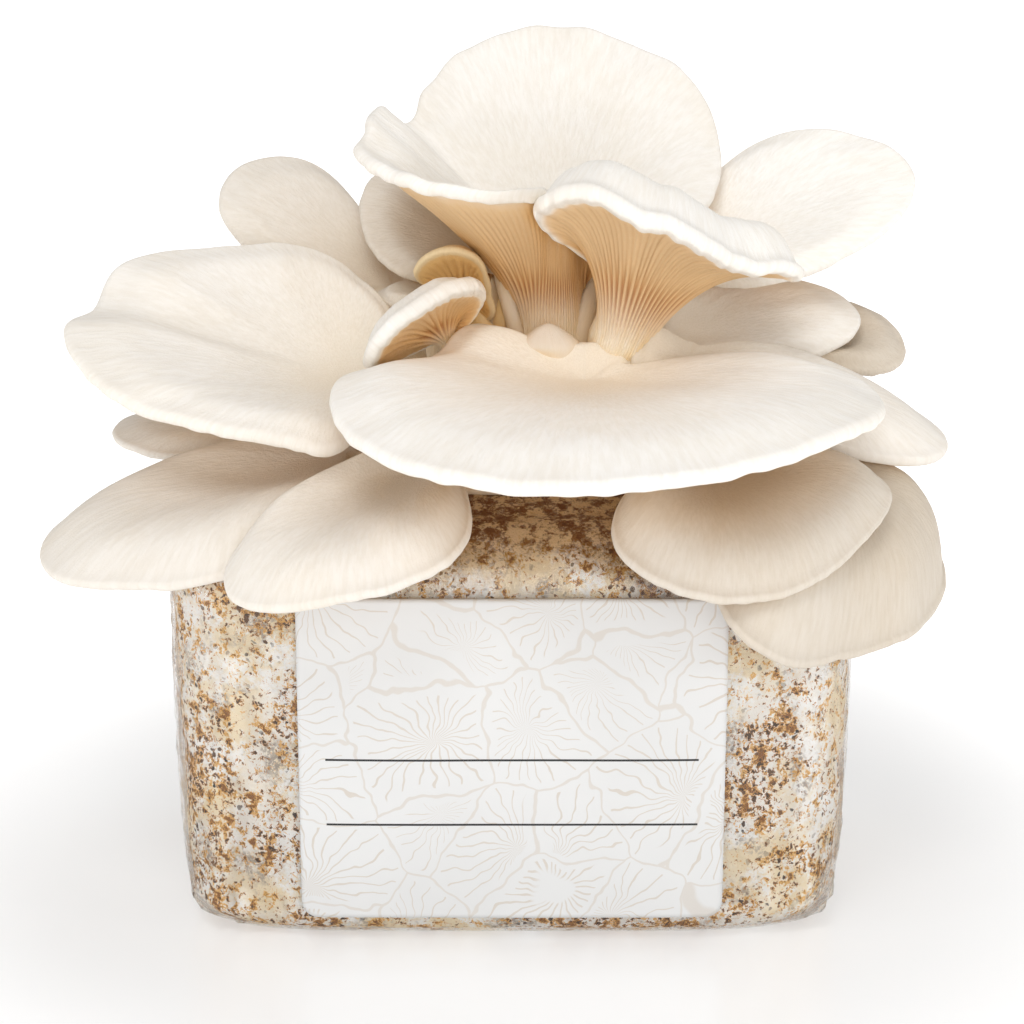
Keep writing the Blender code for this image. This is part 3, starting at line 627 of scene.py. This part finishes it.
def brick_profile(offset, rim_angle=90.0, step=2.0):
    """(half width, half depth, height, exponent) down the brick's side, moved out by offset."""
    heights, insets = np.transpose(WALL_INSETS)
    rows = []

    def row(inset_x, inset_y, height, power=WALL_POWER):
        rows.append((BLOCK_HALF_WIDTH - inset_x, BLOCK_HALF_DEPTH - inset_y, height, power))

    for degrees in np.arange(rim_angle, -0.1, -rim_angle / SHOULDER_STEPS):
        angle = math.radians(degrees)
        inward = 1 - math.cos(angle)
        out = offset * math.cos(angle)
        height = SHOULDER_WALL + (SHOULDER_RISE + offset) * math.sin(angle)
        power = WALL_POWER - (WALL_POWER - SHOULDER_POWER) * math.sin(angle)
        row(SHOULDER_INSET[0] * inward - out, SHOULDER_INSET[1] * inward - out, height, power)
    for height in np.arange(SHOULDER_WALL - step, heights[0] + 0.5 * step, -step):
        inset = np.interp(height, heights, insets)
        row(inset - offset, inset / 2 - offset, height)
    for degrees in np.linspace(0.0, 90.0, 10):
        angle = math.radians(degrees)
        inward = FOOT_RADIUS * (1 - math.cos(angle)) - offset * math.cos(angle)
        height = heights[0] - (FOOT_RADIUS + offset) * math.sin(angle)
        row(insets[0] + inward, insets[0] / 2 + inward, height)
    return rows


def near_corner(low, high, grid):
    """From 0 to 1 towards the brick's four upright corners, where the two shares come to 2."""
    shares = np.abs(grid[..., 0]) / BLOCK_HALF_WIDTH + np.abs(grid[..., 1]) / BLOCK_HALF_DEPTH
    return smooth(low, high, shares)


def corner_fold(grid):
    """Pulls the bag's four bottom corners out into the points of its folded gusset."""
    near = near_corner(1.62, 1.80, grid) * smooth(24.0, 3.0, grid[..., 2])
    pull = np.stack([np.sign(grid[..., 0]), np.sign(grid[..., 1]), np.zeros(near.shape)], axis=-1)
    return grid + pull * (CORNER_PULL * near)[..., None]


def substrate():
    """The brick, with the lumps of packed straw and grain."""
    profile = brick_profile(-0.3)
    half_x, half_y, height, power = profile[0]
    flat = [
        (half_x * share, half_y * share, BLOCK_TOP + (height - BLOCK_TOP) * share**6, 3.2)
        for share in np.linspace(0.06, 0.96, 16)
    ]
    under = [
        (profile[-1][0] * share, profile[-1][1] * share, profile[-1][2], power)
        for share in np.linspace(0.93, 0.1, 6)
    ]
    grid = np.array([rounded_ring(*row, BRICK_COLUMNS) for row in flat + profile + under])
    inward = CORNER_PULL * near_corner(1.55, 1.85, grid) * smooth(6.0, 30.0, grid[..., 2])
    normal = grid_normals(grid)
    grid = grid - normal * inward[..., None]
    lumps = (
        0.9 * field(grid, (17, 17, 13), 21)
        + 0.45 * field(grid, (6, 6, 5), 22)
        + 0.3 * field(grid, (2.4, 2.4, 2.4), 23)
    )
    lift = smooth(1.5, 8.0, grid[..., 2])
    grid = grid + normal * ((lumps - 0.7) * lift)[..., None]
    grid = corner_fold(grid)
    bottom = (0.0, 0.0, grid[-1, :, 2].mean())
    return closed_piece("substrate_mass", (0.0, 0.0, BLOCK_TOP - 0.5), grid, bottom)


def film():
    """The clear bag: one thin skin, tight on the walls and wrinkled at its corners and rim."""
    profile = brick_profile(FILM_GAP, BAG_RIM_ANGLE, step=1.25)
    under = [
        (profile[-1][0] * share, profile[-1][1] * share, 0.0, WALL_POWER)
        for share in (0.94, 0.8, 0.5, 0.2)
    ]
    grid = np.array([rounded_ring(*row, FILM_COLUMNS) for row in profile + under])
    normal = grid_normals(grid)
    z = grid[..., 2]
    at_corner = near_corner(1.35, 1.85, grid)
    on_wall = smooth(0.2, 10.0, z)
    upright = 1 - np.abs(field(grid, (5, 5, 34), 31))
    slanted = 1 - np.abs(field(grid + z[..., None] * [0.6, 0.3, 0.0], (7, 7, 20), 32))
    fine = 1 - np.abs(field(grid, (2.2, 2.2, 12), 33))
    wrinkle = 0.9 * upright**4 + 0.6 * slanted**5 + 0.35 * fine**3
    swell = 0.5 * field(grid, (23, 23, 19), 34)
    size = (0.35 + 0.9 * at_corner + 0.5 * smooth(24.0, 6.0, z)) * on_wall
    grid = grid + normal * ((wrinkle - 0.45) * size + swell * on_wall * 0.6)[..., None]
    grid = corner_fold(grid)
    grid[0, :, 2] += 0.6 * field(grid[0], (6, 6, 6), 35)
    # Open at the top: the closed form's first point and first faces are left out.
    points = np.concatenate([grid.reshape(-1, 3), [(0.0, 0.0, 0.0)]])
    faces = closed_faces(len(grid), FILM_COLUMNS)[1:]
    return mesh_object("film_skin", points, [block - 1 for block in faces])


def bag_front(x, height, offset):
    """The y of the bag's front wall there, moved out by offset."""
    inset = np.interp(height, *np.transpose(WALL_INSETS))
    half_width = BLOCK_HALF_WIDTH + FILM_GAP
    half_depth = BLOCK_HALF_DEPTH + FILM_GAP - inset / 2
    share = 1 - (np.abs(x) / half_width) ** WALL_POWER
    return -(half_depth * share ** (1 / WALL_POWER) + offset)


def on_label(flat, offset):
    """Points of the label's plane, from its centre, laid on the bag's front."""
    x = flat[..., 0]
    height = LABEL_BOTTOM + LABEL_HEIGHT / 2 + flat[..., 1]
    place = np.stack([x, bag_front(x, height, offset), height], axis=-1)
    sway = 0.25 * field(place, (31, 400, 27), 41) + 0.1 * field(place, (11, 400, 9), 42)
    place[..., 1] -= sway
    return place


def label():
    """The sticker's sheet, with round corners."""
    across = np.linspace(-LABEL_WIDTH / 2, LABEL_WIDTH / 2, 91)
    upward = np.linspace(-LABEL_HEIGHT / 2, LABEL_HEIGHT / 2, 73)
    flat = np.stack(np.meshgrid(across, upward, indexing="ij"), axis=-1)
    limit = np.array([LABEL_WIDTH, LABEL_HEIGHT]) / 2 - LABEL_CORNER
    past = np.maximum(np.abs(flat) - limit, 0.0)
    both = (past > 0).all(axis=-1)
    scale = np.where(both, past.max(axis=-1) / np.maximum(np.hypot(*past.T).T, 1e-9), 1.0)
    flat = np.where(both[..., None], np.sign(flat) * (limit + past * scale[..., None]), flat)
    grid = on_label(flat, LABEL_FACE)
    rows, columns, _ = grid.shape
    here = (np.arange(rows - 1)[:, None] * columns + np.arange(columns - 1)).ravel()
    faces = np.stack([here, here + columns, here + columns + 1, here + 1], axis=1)
    piece = mesh_object("label_sheet", grid.reshape(-1, 3), [faces])
    sheet = piece.modifiers.new("sheet thickness", "SOLIDIFY")
    sheet.thickness = LABEL_THICKNESS * MM
    sheet.offset = -1.0
    return piece


def label_rules():
    """Two dark rules printed across the label."""
    across = np.linspace(-RULE_LENGTH / 2, RULE_LENGTH / 2, 40)
    sides = np.array([-RULE_WIDTH / 2, RULE_WIDTH / 2])
    here = 2 * np.arange(len(across) - 1)
    strip = np.stack([here, here + 2, here + 3, here + 1], axis=1)
    points = []
    faces = []
    for height in RULE_HEIGHTS:
        flat = np.stack(np.meshgrid(across, height + sides, indexing="ij"), axis=-1)
        faces.append(strip + 2 * len(across) * len(points))
        points.append(on_label(flat, RULE_FACE).reshape(-1, 3))
    return mesh_object("label_rules", np.concatenate(points), faces)


def cluster_foot():
    """The fused mass the stems come out of: a mound with small knobs."""
    half_x, half_y = MOUND_HALF
    rows = []
    for share in np.linspace(0.02, 1.0, 40):
        height = BLOCK_TOP - 1.0 + MOUND_HEIGHT * (1 - share**2.2) ** 0.9
        size = (half_x * share, half_y * share)
        rows.append(rounded_ring(*size, height, 2.4, MOUND_COLUMNS, MOUND_CENTRE))
    grid = np.array(rows)
    knobs = 1.6 * field(grid, (8, 8, 8), 51) + 0.8 * field(grid, (3.5, 3.5, 3.5), 52)
    grid = grid + grid_normals(grid) * (knobs - 0.8)[..., None]
    values = dict(gill_valley_shade=0.0, underside=0.5, stem=0.5, warmth_and_shade=0.8, streak=grid * 0.01)
    top = (*MOUND_CENTRE, BLOCK_TOP + MOUND_HEIGHT - 2.0)
    bottom = (*MOUND_CENTRE, BLOCK_TOP - 1.0)
    return closed_piece("cluster_foot_mass", top, grid, bottom, values)


def fill_in(coarse, rows, columns, row_step, column_step):
    """Values known at some rows and columns, filled in for all of them."""
    wrapped = np.concatenate([coarse, coarse[:, :1]], axis=1)
    known = np.arange(wrapped.shape[1]) * column_step
    known[-1] = columns
    across = np.array([np.interp(np.arange(columns), known, line) for line in wrapped])
    places = np.minimum(np.arange(len(coarse)) * row_step, rows - 1)
    return np.array([np.interp(np.arange(rows), places, line) for line in across.T]).T


def painted_occlusion(pieces, reach=42.0, count=14, row_step=3, column_step=8):
    """Tells the flesh's material how closed in each point is by the pieces around it, which it
    paints as shade.

    It casts count rays from every few points, and a nearer hit within reach counts for more.
    """
    points = []
    quads = []
    for grid in GRIDS.values():
        coarse = grid[::2, ::4]
        sides = closed_faces(*coarse.shape[:2])[1]
        quads.extend((sides - 1 + len(points)).tolist())
        points.extend(coarse.reshape(-1, 3).tolist())
    tree = BVHTree.FromPolygons(points, quads)
    turns = np.arange(count) * math.pi * (3 - math.sqrt(5))
    high = np.sqrt(1 - (np.arange(count) + 0.5) / count)
    flat = np.sqrt(1 - high**2)
    rays = np.stack([flat * np.cos(turns), flat * np.sin(turns), high], axis=1)
    for piece in pieces:
        grid = GRIDS[piece.name]
        rows, columns, _ = grid.shape
        normal = grid_normals(grid)[::row_step, ::column_step]
        start = grid[::row_step, ::column_step] + 1.5 * normal
        level = unit(np.cross(normal, (0.31, 0.52, 0.79)))
        basis = np.stack([level, np.cross(normal, level), normal], axis=-2)
        ways = np.einsum("kc,rqcx->rqkx", rays, basis)
        closed = np.zeros(start.shape[:2])
        for place in np.ndindex(*closed.shape):
            origin = start[place].tolist()
            for way in ways[place].tolist():
                distance = tree.ray_cast(origin, way, reach)[3]
                if distance is not None:
                    closed[place] += (1 - distance / reach) / len(rays)
        full = fill_in(closed, rows, columns, row_step, column_step)
        flat_values = np.concatenate([[full[0].mean()], full.ravel(), [full[-1].mean()]])
        layer = piece.data.attributes.new("painted_occlusion", "FLOAT", "POINT")
        layer.data.foreach_set("value", flat_values.astype(np.float32))


WHITE = (1.0, 1.0, 1.0)


def feed(socket, value):
    """Links another node's output to the socket, or sets the socket to a number or colour."""
    if isinstance(value, bpy.types.NodeSocket):
        socket.id_data.links.new(value, socket)
    elif socket.type == "RGBA":
        socket.default_value = (*value, 1.0)
    else:
        socket.default_value = value


def add(tree, kind, settings=None, **inputs):
    """A node of that kind. An input is a number, a colour or another node's output.

    tree is a node tree, or what holds an output of one of the tree's nodes among its values.
    """
    if isinstance(tree, tuple):
        outputs = [value for value in tree if isinstance(value, bpy.types.NodeSocket)]
        tree = outputs[0].id_data
    made = tree.nodes.new(kind)
    for key, value in (settings or {}).items():
        setattr(made, key, value)
    for key, value in inputs.items():
        feed(made.inputs[key.replace("_", " ")], value)
    return made


def blend(factor, first, second, mode="MIX"):
    """A colour between two colours."""
    settings = dict(data_type="RGBA", blend_type=mode, clamp_factor=True)
    made = add((factor, first, second), "ShaderNodeMix", settings)
    for index, value in ((0, factor), (6, first), (7, second)):
        feed(made.inputs[index], value)
    return made.outputs[2]


def tinted(colour, factor, none, full):
    """The colour times a tint, which goes from none to full with the factor."""
    return blend(1.0, colour, blend(factor, none, full), "MULTIPLY")


def remap(value, low, high, to_low=0.0, to_high=1.0):
    """The value, moved from the range low to high onto another range, and held inside it."""
    settings = {"interpolation_type": "SMOOTHSTEP"}
    made = add(value.id_data, "ShaderNodeMapRange", settings, Value=value)
    for index, number in enumerate((low, high, to_low, to_high)):
        made.inputs[index + 1].default_value = number
    return made.outputs[0]


def maths(operation, first, second=0.0):
    """One sum of one or two values."""
    made = add((first, second), "ShaderNodeMath", {"operation": operation})
    feed(made.inputs[0], first)
    feed(made.inputs[1], second)
    return made.outputs[0]


def times(first, second):
    return maths("MULTIPLY", first, second)


def plus(first, second):
    return maths("ADD", first, second)


def vector(operation, *values):
    """One sum of vectors. A length is a number."""
    made = add(values, "ShaderNodeVectorMath", {"operation": operation})
    for socket, value in zip(made.inputs, values):
        feed(socket, value)
    return made.outputs["Value" if operation == "LENGTH" else "Vector"]


def noise(place, scale, detail=4.0, roughness=0.55):
    """Noise from 0 to 1."""
    settings = dict(Scale=scale, Detail=detail, Roughness=roughness)
    return add(place.id_data, "ShaderNodeTexNoise", Vector=place, **settings).outputs["Fac"]


def strayed(place, scale, detail, size):
    """The place, moved by noise, by up to that size along X, Y and Z."""
    tree = place.id_data
    wander = add(tree, "ShaderNodeTexNoise", Vector=place, Scale=scale, Detail=detail)
    return vector("MULTIPLY_ADD", wander.outputs["Color"], (size, size, size), place)


def specks(place, scale, share, low, high):
    """(mask, random value): spots in about that share of the cells of a Voronoi pattern."""
    tree = place.id_data
    cells = add(tree, "ShaderNodeTexVoronoi", Vector=place, Scale=scale)
    chance = add(tree, "ShaderNodeSeparateColor", Color=cells.outputs["Color"])
    chosen = remap(chance.outputs[0], 1 - share, 1 - share + 0.05)
    size = remap(chance.outputs[1], 0.0, 1.0, low, high)
    inside = maths("SUBTRACT", size, cells.outputs["Distance"])
    mask = times(remap(inside, -0.02, 0.10), chosen)
    return mask, chance.outputs[2]


def base_material(name):
    """A material, its tree, its Principled BSDF, and the place of each point on the object."""
    made = bpy.data.materials.new(name)
    made.use_nodes = True
    tree = made.node_tree
    place = add(tree, "ShaderNodeTexCoord").outputs["Object"]
    return made, tree, tree.nodes["Principled BSDF"], place


def finish(shader, colour, roughness, strength=0.0, depth=0.0, height=0.0):
    """Gives the shader its colour and roughness, and a bump of that depth in metres."""
    feed(shader.inputs[0], colour)
    feed(shader.inputs["Roughness"], roughness)
    if strength:
        settings = dict(Strength=strength, Distance=depth, Height=height)
        relief = add(shader.id_data, "ShaderNodeBump", **settings)
        feed(shader.inputs["Normal"], relief.outputs[0])


def mushroom_material(name, top, hub, crest, valley):
    """Mushroom flesh: pale fibrous cap, warmer hub and stem, and painted shade: tan and brown
    between the gills, warmer in closed-in places and darker on some caps.
    """
    made, tree, shader, place = base_material(name)

    def value(key):
        return add(tree, "ShaderNodeAttribute", {"attribute_name": key}).outputs

    # Warmth: the hub's own creamier colour, and painted shade in the middle of the cluster and on
    # its foot.
    warmth_and_shade = value("warmth_and_shade")["Fac"]
    underside = value("underside")["Fac"]
    streaks = noise(value("streak")["Vector"], 55.0, 4.0, 0.6)
    patches = noise(place, 34.0, 3.0)
    grain = noise(place, 1500.0, 2.0)

    # The upper face.
    colour = blend(remap(warmth_and_shade, 0.0, 1.0, 0.0, 0.85), top, hub)
    colour = tinted(colour, remap(streaks, 0.3, 0.7), (0.945, 0.93, 0.905), WHITE)
    colour = tinted(colour, remap(patches, 0.35, 0.7), WHITE, (0.985, 0.97, 0.945))

    # The gills and the stem. The gills' tan is partly their own colour and partly painted shade
    # under the cap, and the valleys between them are painted shade.
    below = blend(remap(value("gill_valley_shade")["Fac"], 0.05, 0.75), crest, valley)
    below = tinted(below, warmth_and_shade, WHITE, (0.98, 0.90, 0.78))
    pale = blend(remap(streaks, 0.35, 0.65), (0.92, 0.80, 0.62), (0.97, 0.89, 0.76))
    below = blend(value("stem")["Fac"], below, pale)
    colour = blend(underside, colour, below)

    # Painted shade: closed-in places are tinted warmer and darker, and some caps are darkened all
    # over.
    occlusion_shade = remap(value("painted_occlusion")["Fac"], 0.08, 0.75)
    occlusion_shade = times(occlusion_shade, remap(underside, 0.0, 0.3, 0.15, 1.0))
    colour = tinted(colour, occlusion_shade, WHITE, (0.99, 0.88, 0.68))
    colour = tinted(colour, value("painted_shade")["Fac"], WHITE, (0.62, 0.54, 0.44))
    feed(shader.inputs["Specular IOR Level"], 0.35)
    height = plus(streaks, times(grain, 0.25))
    finish(shader, colour, remap(streaks, 0.3, 0.7, 0.62, 0.48), 0.5, 0.0006, height)
    return made


def substrate_material():
    """Straw, bran and grain overgrown by white mycelium."""
    mycelium = (1.0, 0.995, 0.98)
    wet = (0.34, 0.28, 0.24)
    gold = (0.78, 0.43, 0.09)
    brown = (0.24, 0.085, 0.015)
    amber = (0.58, 0.25, 0.04)
    black = (0.07, 0.035, 0.015)
    made, tree, shader, place = base_material("substrate")
    bent = strayed(place, 420.0, 3.0, 0.0028)

    # The ground colour, with grey wet patches and a white veil over it.
    broad = noise(place, 42.0, 4.0)
    fibres = noise(place, 1000.0, 2.0, 0.7)
    patch = remap(noise(place, 46.0, 3.0, 0.6), 0.42, 0.60)
    colour = blend(remap(broad, 0.40, 0.60), (0.92, 0.79, 0.57), (0.95, 0.92, 0.87))
    haze = remap(noise(bent, 60.0, 4.0, 0.65), 0.51, 0.63, 0.0, 0.85)
    haze = times(haze, remap(fibres, 0.36, 0.56))
    colour = blend(haze, colour, wet)
    veil = remap(noise(bent, 75.0, 4.0, 0.7), 0.48, 0.60, 0.0, 0.95)
    threads = remap(noise(bent, 700.0, 3.0, 0.7), 0.3, 0.55)
    veil = times(veil, threads)
    colour = blend(veil, colour, mycelium)

    # Bits of straw and grain, which crowd in some patches and are fewer under the veil.
    crowd = maths("SUBTRACT", times(patch, 0.065), 0.02)
    crowd = maths("SUBTRACT", crowd, times(veil, 0.03))
    golden = plus(noise(bent, 230.0, 4.0, 0.75), crowd)
    grains = plus(noise(bent, 560.0, 3.0, 0.75), crowd)
    for bits, low, high, most, shade in (
        (golden, 0.538, 0.573, 0.9, gold),
        (golden, 0.60, 0.635, 0.95, brown),
        (grains, 0.56, 0.595, 0.95, amber),
        (grains, 0.605, 0.635, 1.0, black),
    ):
        colour = blend(remap(bits, low, high, 0.0, most), colour, shade)
    dark_mask, dark_chance = specks(bent, 520.0, 0.36, 0.10, 0.46)
    dark_mask = times(dark_mask, remap(patch, 0.0, 0.5, 0.4, 1.0))
    dark = blend(dark_chance, (0.03, 0.02, 0.015), (0.20, 0.09, 0.03))
    colour = blend(dark_mask, colour, dark)

    # Bare brown straw at the open top.
    upright = add(tree, "ShaderNodeSeparateXYZ", Vector=place).outputs["Z"]
    ragged = plus(upright, times(broad, 0.03))
    crust = remap(ragged, 0.122, 0.142, 0.0, 0.9)
    strands = plus(golden, times(fibres, 0.35))
    straw = blend(remap(strands, 0.61, 0.74), (0.66, 0.47, 0.25), (0.15, 0.055, 0.015))
    colour = blend(crust, colour, straw)
    finish(shader, colour, remap(fibres, 0.35, 0.65, 0.78, 0.62), 0.7, 0.0010, fibres)
    return made


def film_material():
    """Clear plastic film: seen through, with a gloss and a thin haze that grow at its edges."""
    made, tree, shader, place = base_material("film")
    tree.nodes.remove(shader)
    facing = add(tree, "ShaderNodeLayerWeight", Blend=0.35).outputs
    clear = add(tree, "ShaderNodeBsdfTransparent", Color=WHITE)
    along = add(tree, "ShaderNodeMapping", Vector=place, Scale=(1.0, 1.0, 0.35))
    creases = noise(along.outputs[0], 160.0, 3.0, 0.6)
    gloss = add(tree, "ShaderNodeBsdfGlossy")
    finish(gloss, WHITE, remap(creases, 0.3, 0.7, 0.10, 0.16), 0.8, 0.0012, creases)
    haze = add(tree, "ShaderNodeBsdfDiffuse", Color=(0.9, 0.91, 0.92))
    layer = clear.outputs[0]
    for over, share in (
        (haze, remap(facing["Facing"], 0.55, 1.0, 0.0, 0.5)),
        (gloss, remap(facing["Fresnel"], 0.1, 1.0, 0.035, 0.8)),
    ):
        mixed = add(tree, "ShaderNodeMixShader")
        for socket, value in zip(mixed.inputs, (share, layer, over.outputs[0])):
            feed(socket, value)
        layer = mixed.outputs[0]
    feed(tree.nodes["Material Output"].inputs["Surface"], layer)
    return made


def label_material():
    """A satin white sticker with a faint printed pattern of fans of lines, like gills."""
    made, tree, shader, place = base_material("label")
    flat = vector("MULTIPLY", strayed(place, 75.0, 2.0, 0.012), (1.0, 0.0, 1.0))
    pattern = dict(Vector=flat, Scale=30.0, Randomness=0.9)
    cells = add(tree, "ShaderNodeTexVoronoi", **pattern)
    edges = add(tree, "ShaderNodeTexVoronoi", {"feature": "DISTANCE_TO_EDGE"}, **pattern)
    edge = edges.outputs["Distance"]

    # Wavy lines out from the middle of each cell, with a broken line along the cell's edge.
    spoke = vector("SUBTRACT", flat, cells.outputs["Position"])
    parts = add(tree, "ShaderNodeSeparateXYZ", Vector=spoke)
    radius = vector("LENGTH", spoke)
    turn = maths("ARCTAN2", parts.outputs["Z"], parts.outputs["X"])
    turn = times(turn, LABEL_SPOKES / 2)
    swing = maths("ABSOLUTE", maths("SINE", turn))
    beside = times(swing, radius)
    line = remap(beside, 0.0030, 0.0042, 1.0, 0.0)
    beyond = remap(radius, 0.0055, 0.0070)
    near_edge = remap(edge, 0.006, 0.013, 0.7, 0.0)
    inside = remap(edge, 0.05, 0.06)
    spokes = times(times(line, beyond), inside)
    printed = times(maths("MAXIMUM", spokes, near_edge), 0.9)

    patches = noise(place, 25.0, 3.0)
    colour = blend(remap(patches, 0.3, 0.7), (0.72, 0.72, 0.715), (0.75, 0.75, 0.745))
    colour = blend(printed, colour, (0.64, 0.585, 0.52))
    grain = noise(place, 2500.0, 2.0)
    finish(shader, colour, remap(patches, 0.3, 0.7, 0.34, 0.42), 0.1, 0.0002, grain)
    return made


def ink_material():
    """Dark printed ink, a little uneven."""
    made, tree, shader, place = base_material("ink_dark")
    spots = noise(place, 700.0, 2.0)
    colour = blend(spots, (0.012, 0.012, 0.014), (0.03, 0.03, 0.03))
    finish(shader, colour, remap(spots, 0.3, 0.7, 0.38, 0.46))
    return made


def dress(piece, material, slot, *nodes):
    """Gives a piece its material, and hides the solids it stands for."""
    piece.data.materials.append(material)
    if nodes:
        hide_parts(*nodes)


def kit():
    flesh = mushroom_material(
        "mushroom",
        top=(0.935, 0.905, 0.86),
        hub=(0.99, 0.91, 0.78),
        # Gill crests and valleys: partly the gills' own tan, and painted shade under the cap and
        # between the gills.
        crest=(0.76, 0.54, 0.31),
        valley=(0.44, 0.18, 0.045),
    )
    tan = mushroom_material(
        "young_mushroom",
        top=(0.84, 0.66, 0.40),
        hub=(0.84, 0.64, 0.36),
        # Gill crests and valleys: partly the gills' own tan, and painted shade under the cap and
        # between the gills.
        crest=(0.80, 0.56, 0.27),
        valley=(0.42, 0.20, 0.06),
    )
    grown = {}
    for seed, (name, form) in enumerate(FRUITBODIES.items(), start=1):
        grown[name] = fruitbody(name, form, seed)
    for seed, (name, form) in enumerate(YOUNG.items(), start=FIRST_YOUNG_SEED):
        grown[name] = young_one(name, form, seed)
    for name, piece in grown.items():
        if name in TAN:
            dress(piece, tan, "young_mushroom", name)
        else:
            dress(piece, flesh, "mushroom", name)
    foot = cluster_foot()
    dress(foot, flesh, "cluster_foot", "cluster_base")
    dress(substrate(), substrate_material(), "substrate", "substrate_block")
    # Painted shade: how closed in each point of the flesh is, for its material to darken and warm.
    painted_occlusion([*grown.values(), foot])
    dress(film(), film_material(), "film", "grow_bag")
    dress(label(), label_material(), "label", "label")
    dress(label_rules(), ink_material(), "label")


def link(name, data):
    """A new object in the scene."""
    made = bpy.data.objects.new(name, data)
    bpy.context.scene.collection.objects.link(made)
    return made


def floor(half=12.0):
    mesh = bpy.data.meshes.new("floor")
    corners = [(-half, -half, 0), (half, -half, 0), (half, half, 0), (-half, half, 0)]
    mesh.from_pydata(corners, [], [(0, 1, 2, 3)])
    ground = link("floor", mesh)
    made, tree, shader, place = base_material("floor_white")
    finish(shader, (0.60, 0.60, 0.60), 0.22)
    feed(shader.inputs["Emission Color"], WHITE)
    glow = remap(vector("LENGTH", place), 0.13, 0.35, 0.41, 0.95)
    feed(shader.inputs["Emission Strength"], glow)
    mesh.materials.append(made)


# Each light's place, the spot it points at, its side and its power in watts.
MIDDLE = (0.0, 0.0, 0.12)
LIGHTS = dict(
    key=((-0.3, -1.1, 1.6), MIDDLE, 0.7, 9.5),
    fill=((0.2, -1.5, 0.6), MIDDLE, 0.8, 5.5),
    top=((0.3, 0.2, 1.6), MIDDLE, 1.0, 5.0),
    left_strip=((-1.1, -0.5, 0.3), (-0.1, 0.0, 0.07), 0.16, 1.6),
    right_strip=((1.1, -0.5, 0.3), (0.1, 0.0, 0.07), 0.16, 1.6),
)
SKY_STRENGTH = 0.40
CAMERA_AIM = (0.0, 0.0, 0.119)
CAMERA_DISTANCE = 0.85
CAMERA_ELEVATION = 16.0
CAMERA_LENS = 95.3


def point_at(thing, place, aim):
    """Puts a light or camera somewhere and turns it to the aim."""
    thing.location = place
    direction = [end - start for end, start in zip(aim, place)]
    thing.rotation_mode = "QUATERNION"
    thing.rotation_quaternion = Vector(direction).to_track_quat("-Z", "Y")


def studio():
    """White surroundings, soft square lights and the camera."""
    scene = bpy.context.scene
    scene.world = bpy.data.worlds.new("studio")
    scene.world.use_nodes = True
    sky = scene.world.node_tree.nodes["Background"]
    feed(sky.inputs["Color"], WHITE)
    feed(sky.inputs["Strength"], SKY_STRENGTH)
    for name, (place, aim, size, power) in LIGHTS.items():
        lamp = bpy.data.lights.new(name, "AREA")
        lamp.shape = "SQUARE"
        lamp.size = size
        lamp.energy = power
        point_at(link(name, lamp), place, aim)
    view = bpy.data.cameras.new("camera")
    view.sensor_width = 36.0
    view.lens = CAMERA_LENS
    view.clip_start = 0.01
    view.clip_end = 50.0
    elevation = math.radians(CAMERA_ELEVATION)
    x, y, z = CAMERA_AIM
    y -= CAMERA_DISTANCE * math.cos(elevation)
    z += CAMERA_DISTANCE * math.sin(elevation)
    scene.camera = link("camera", view)
    point_at(scene.camera, (x, y, z), CAMERA_AIM)
    scene.view_settings.view_transform = "Standard"


kit()
floor()
studio()
bpy.context.view_layer.update()
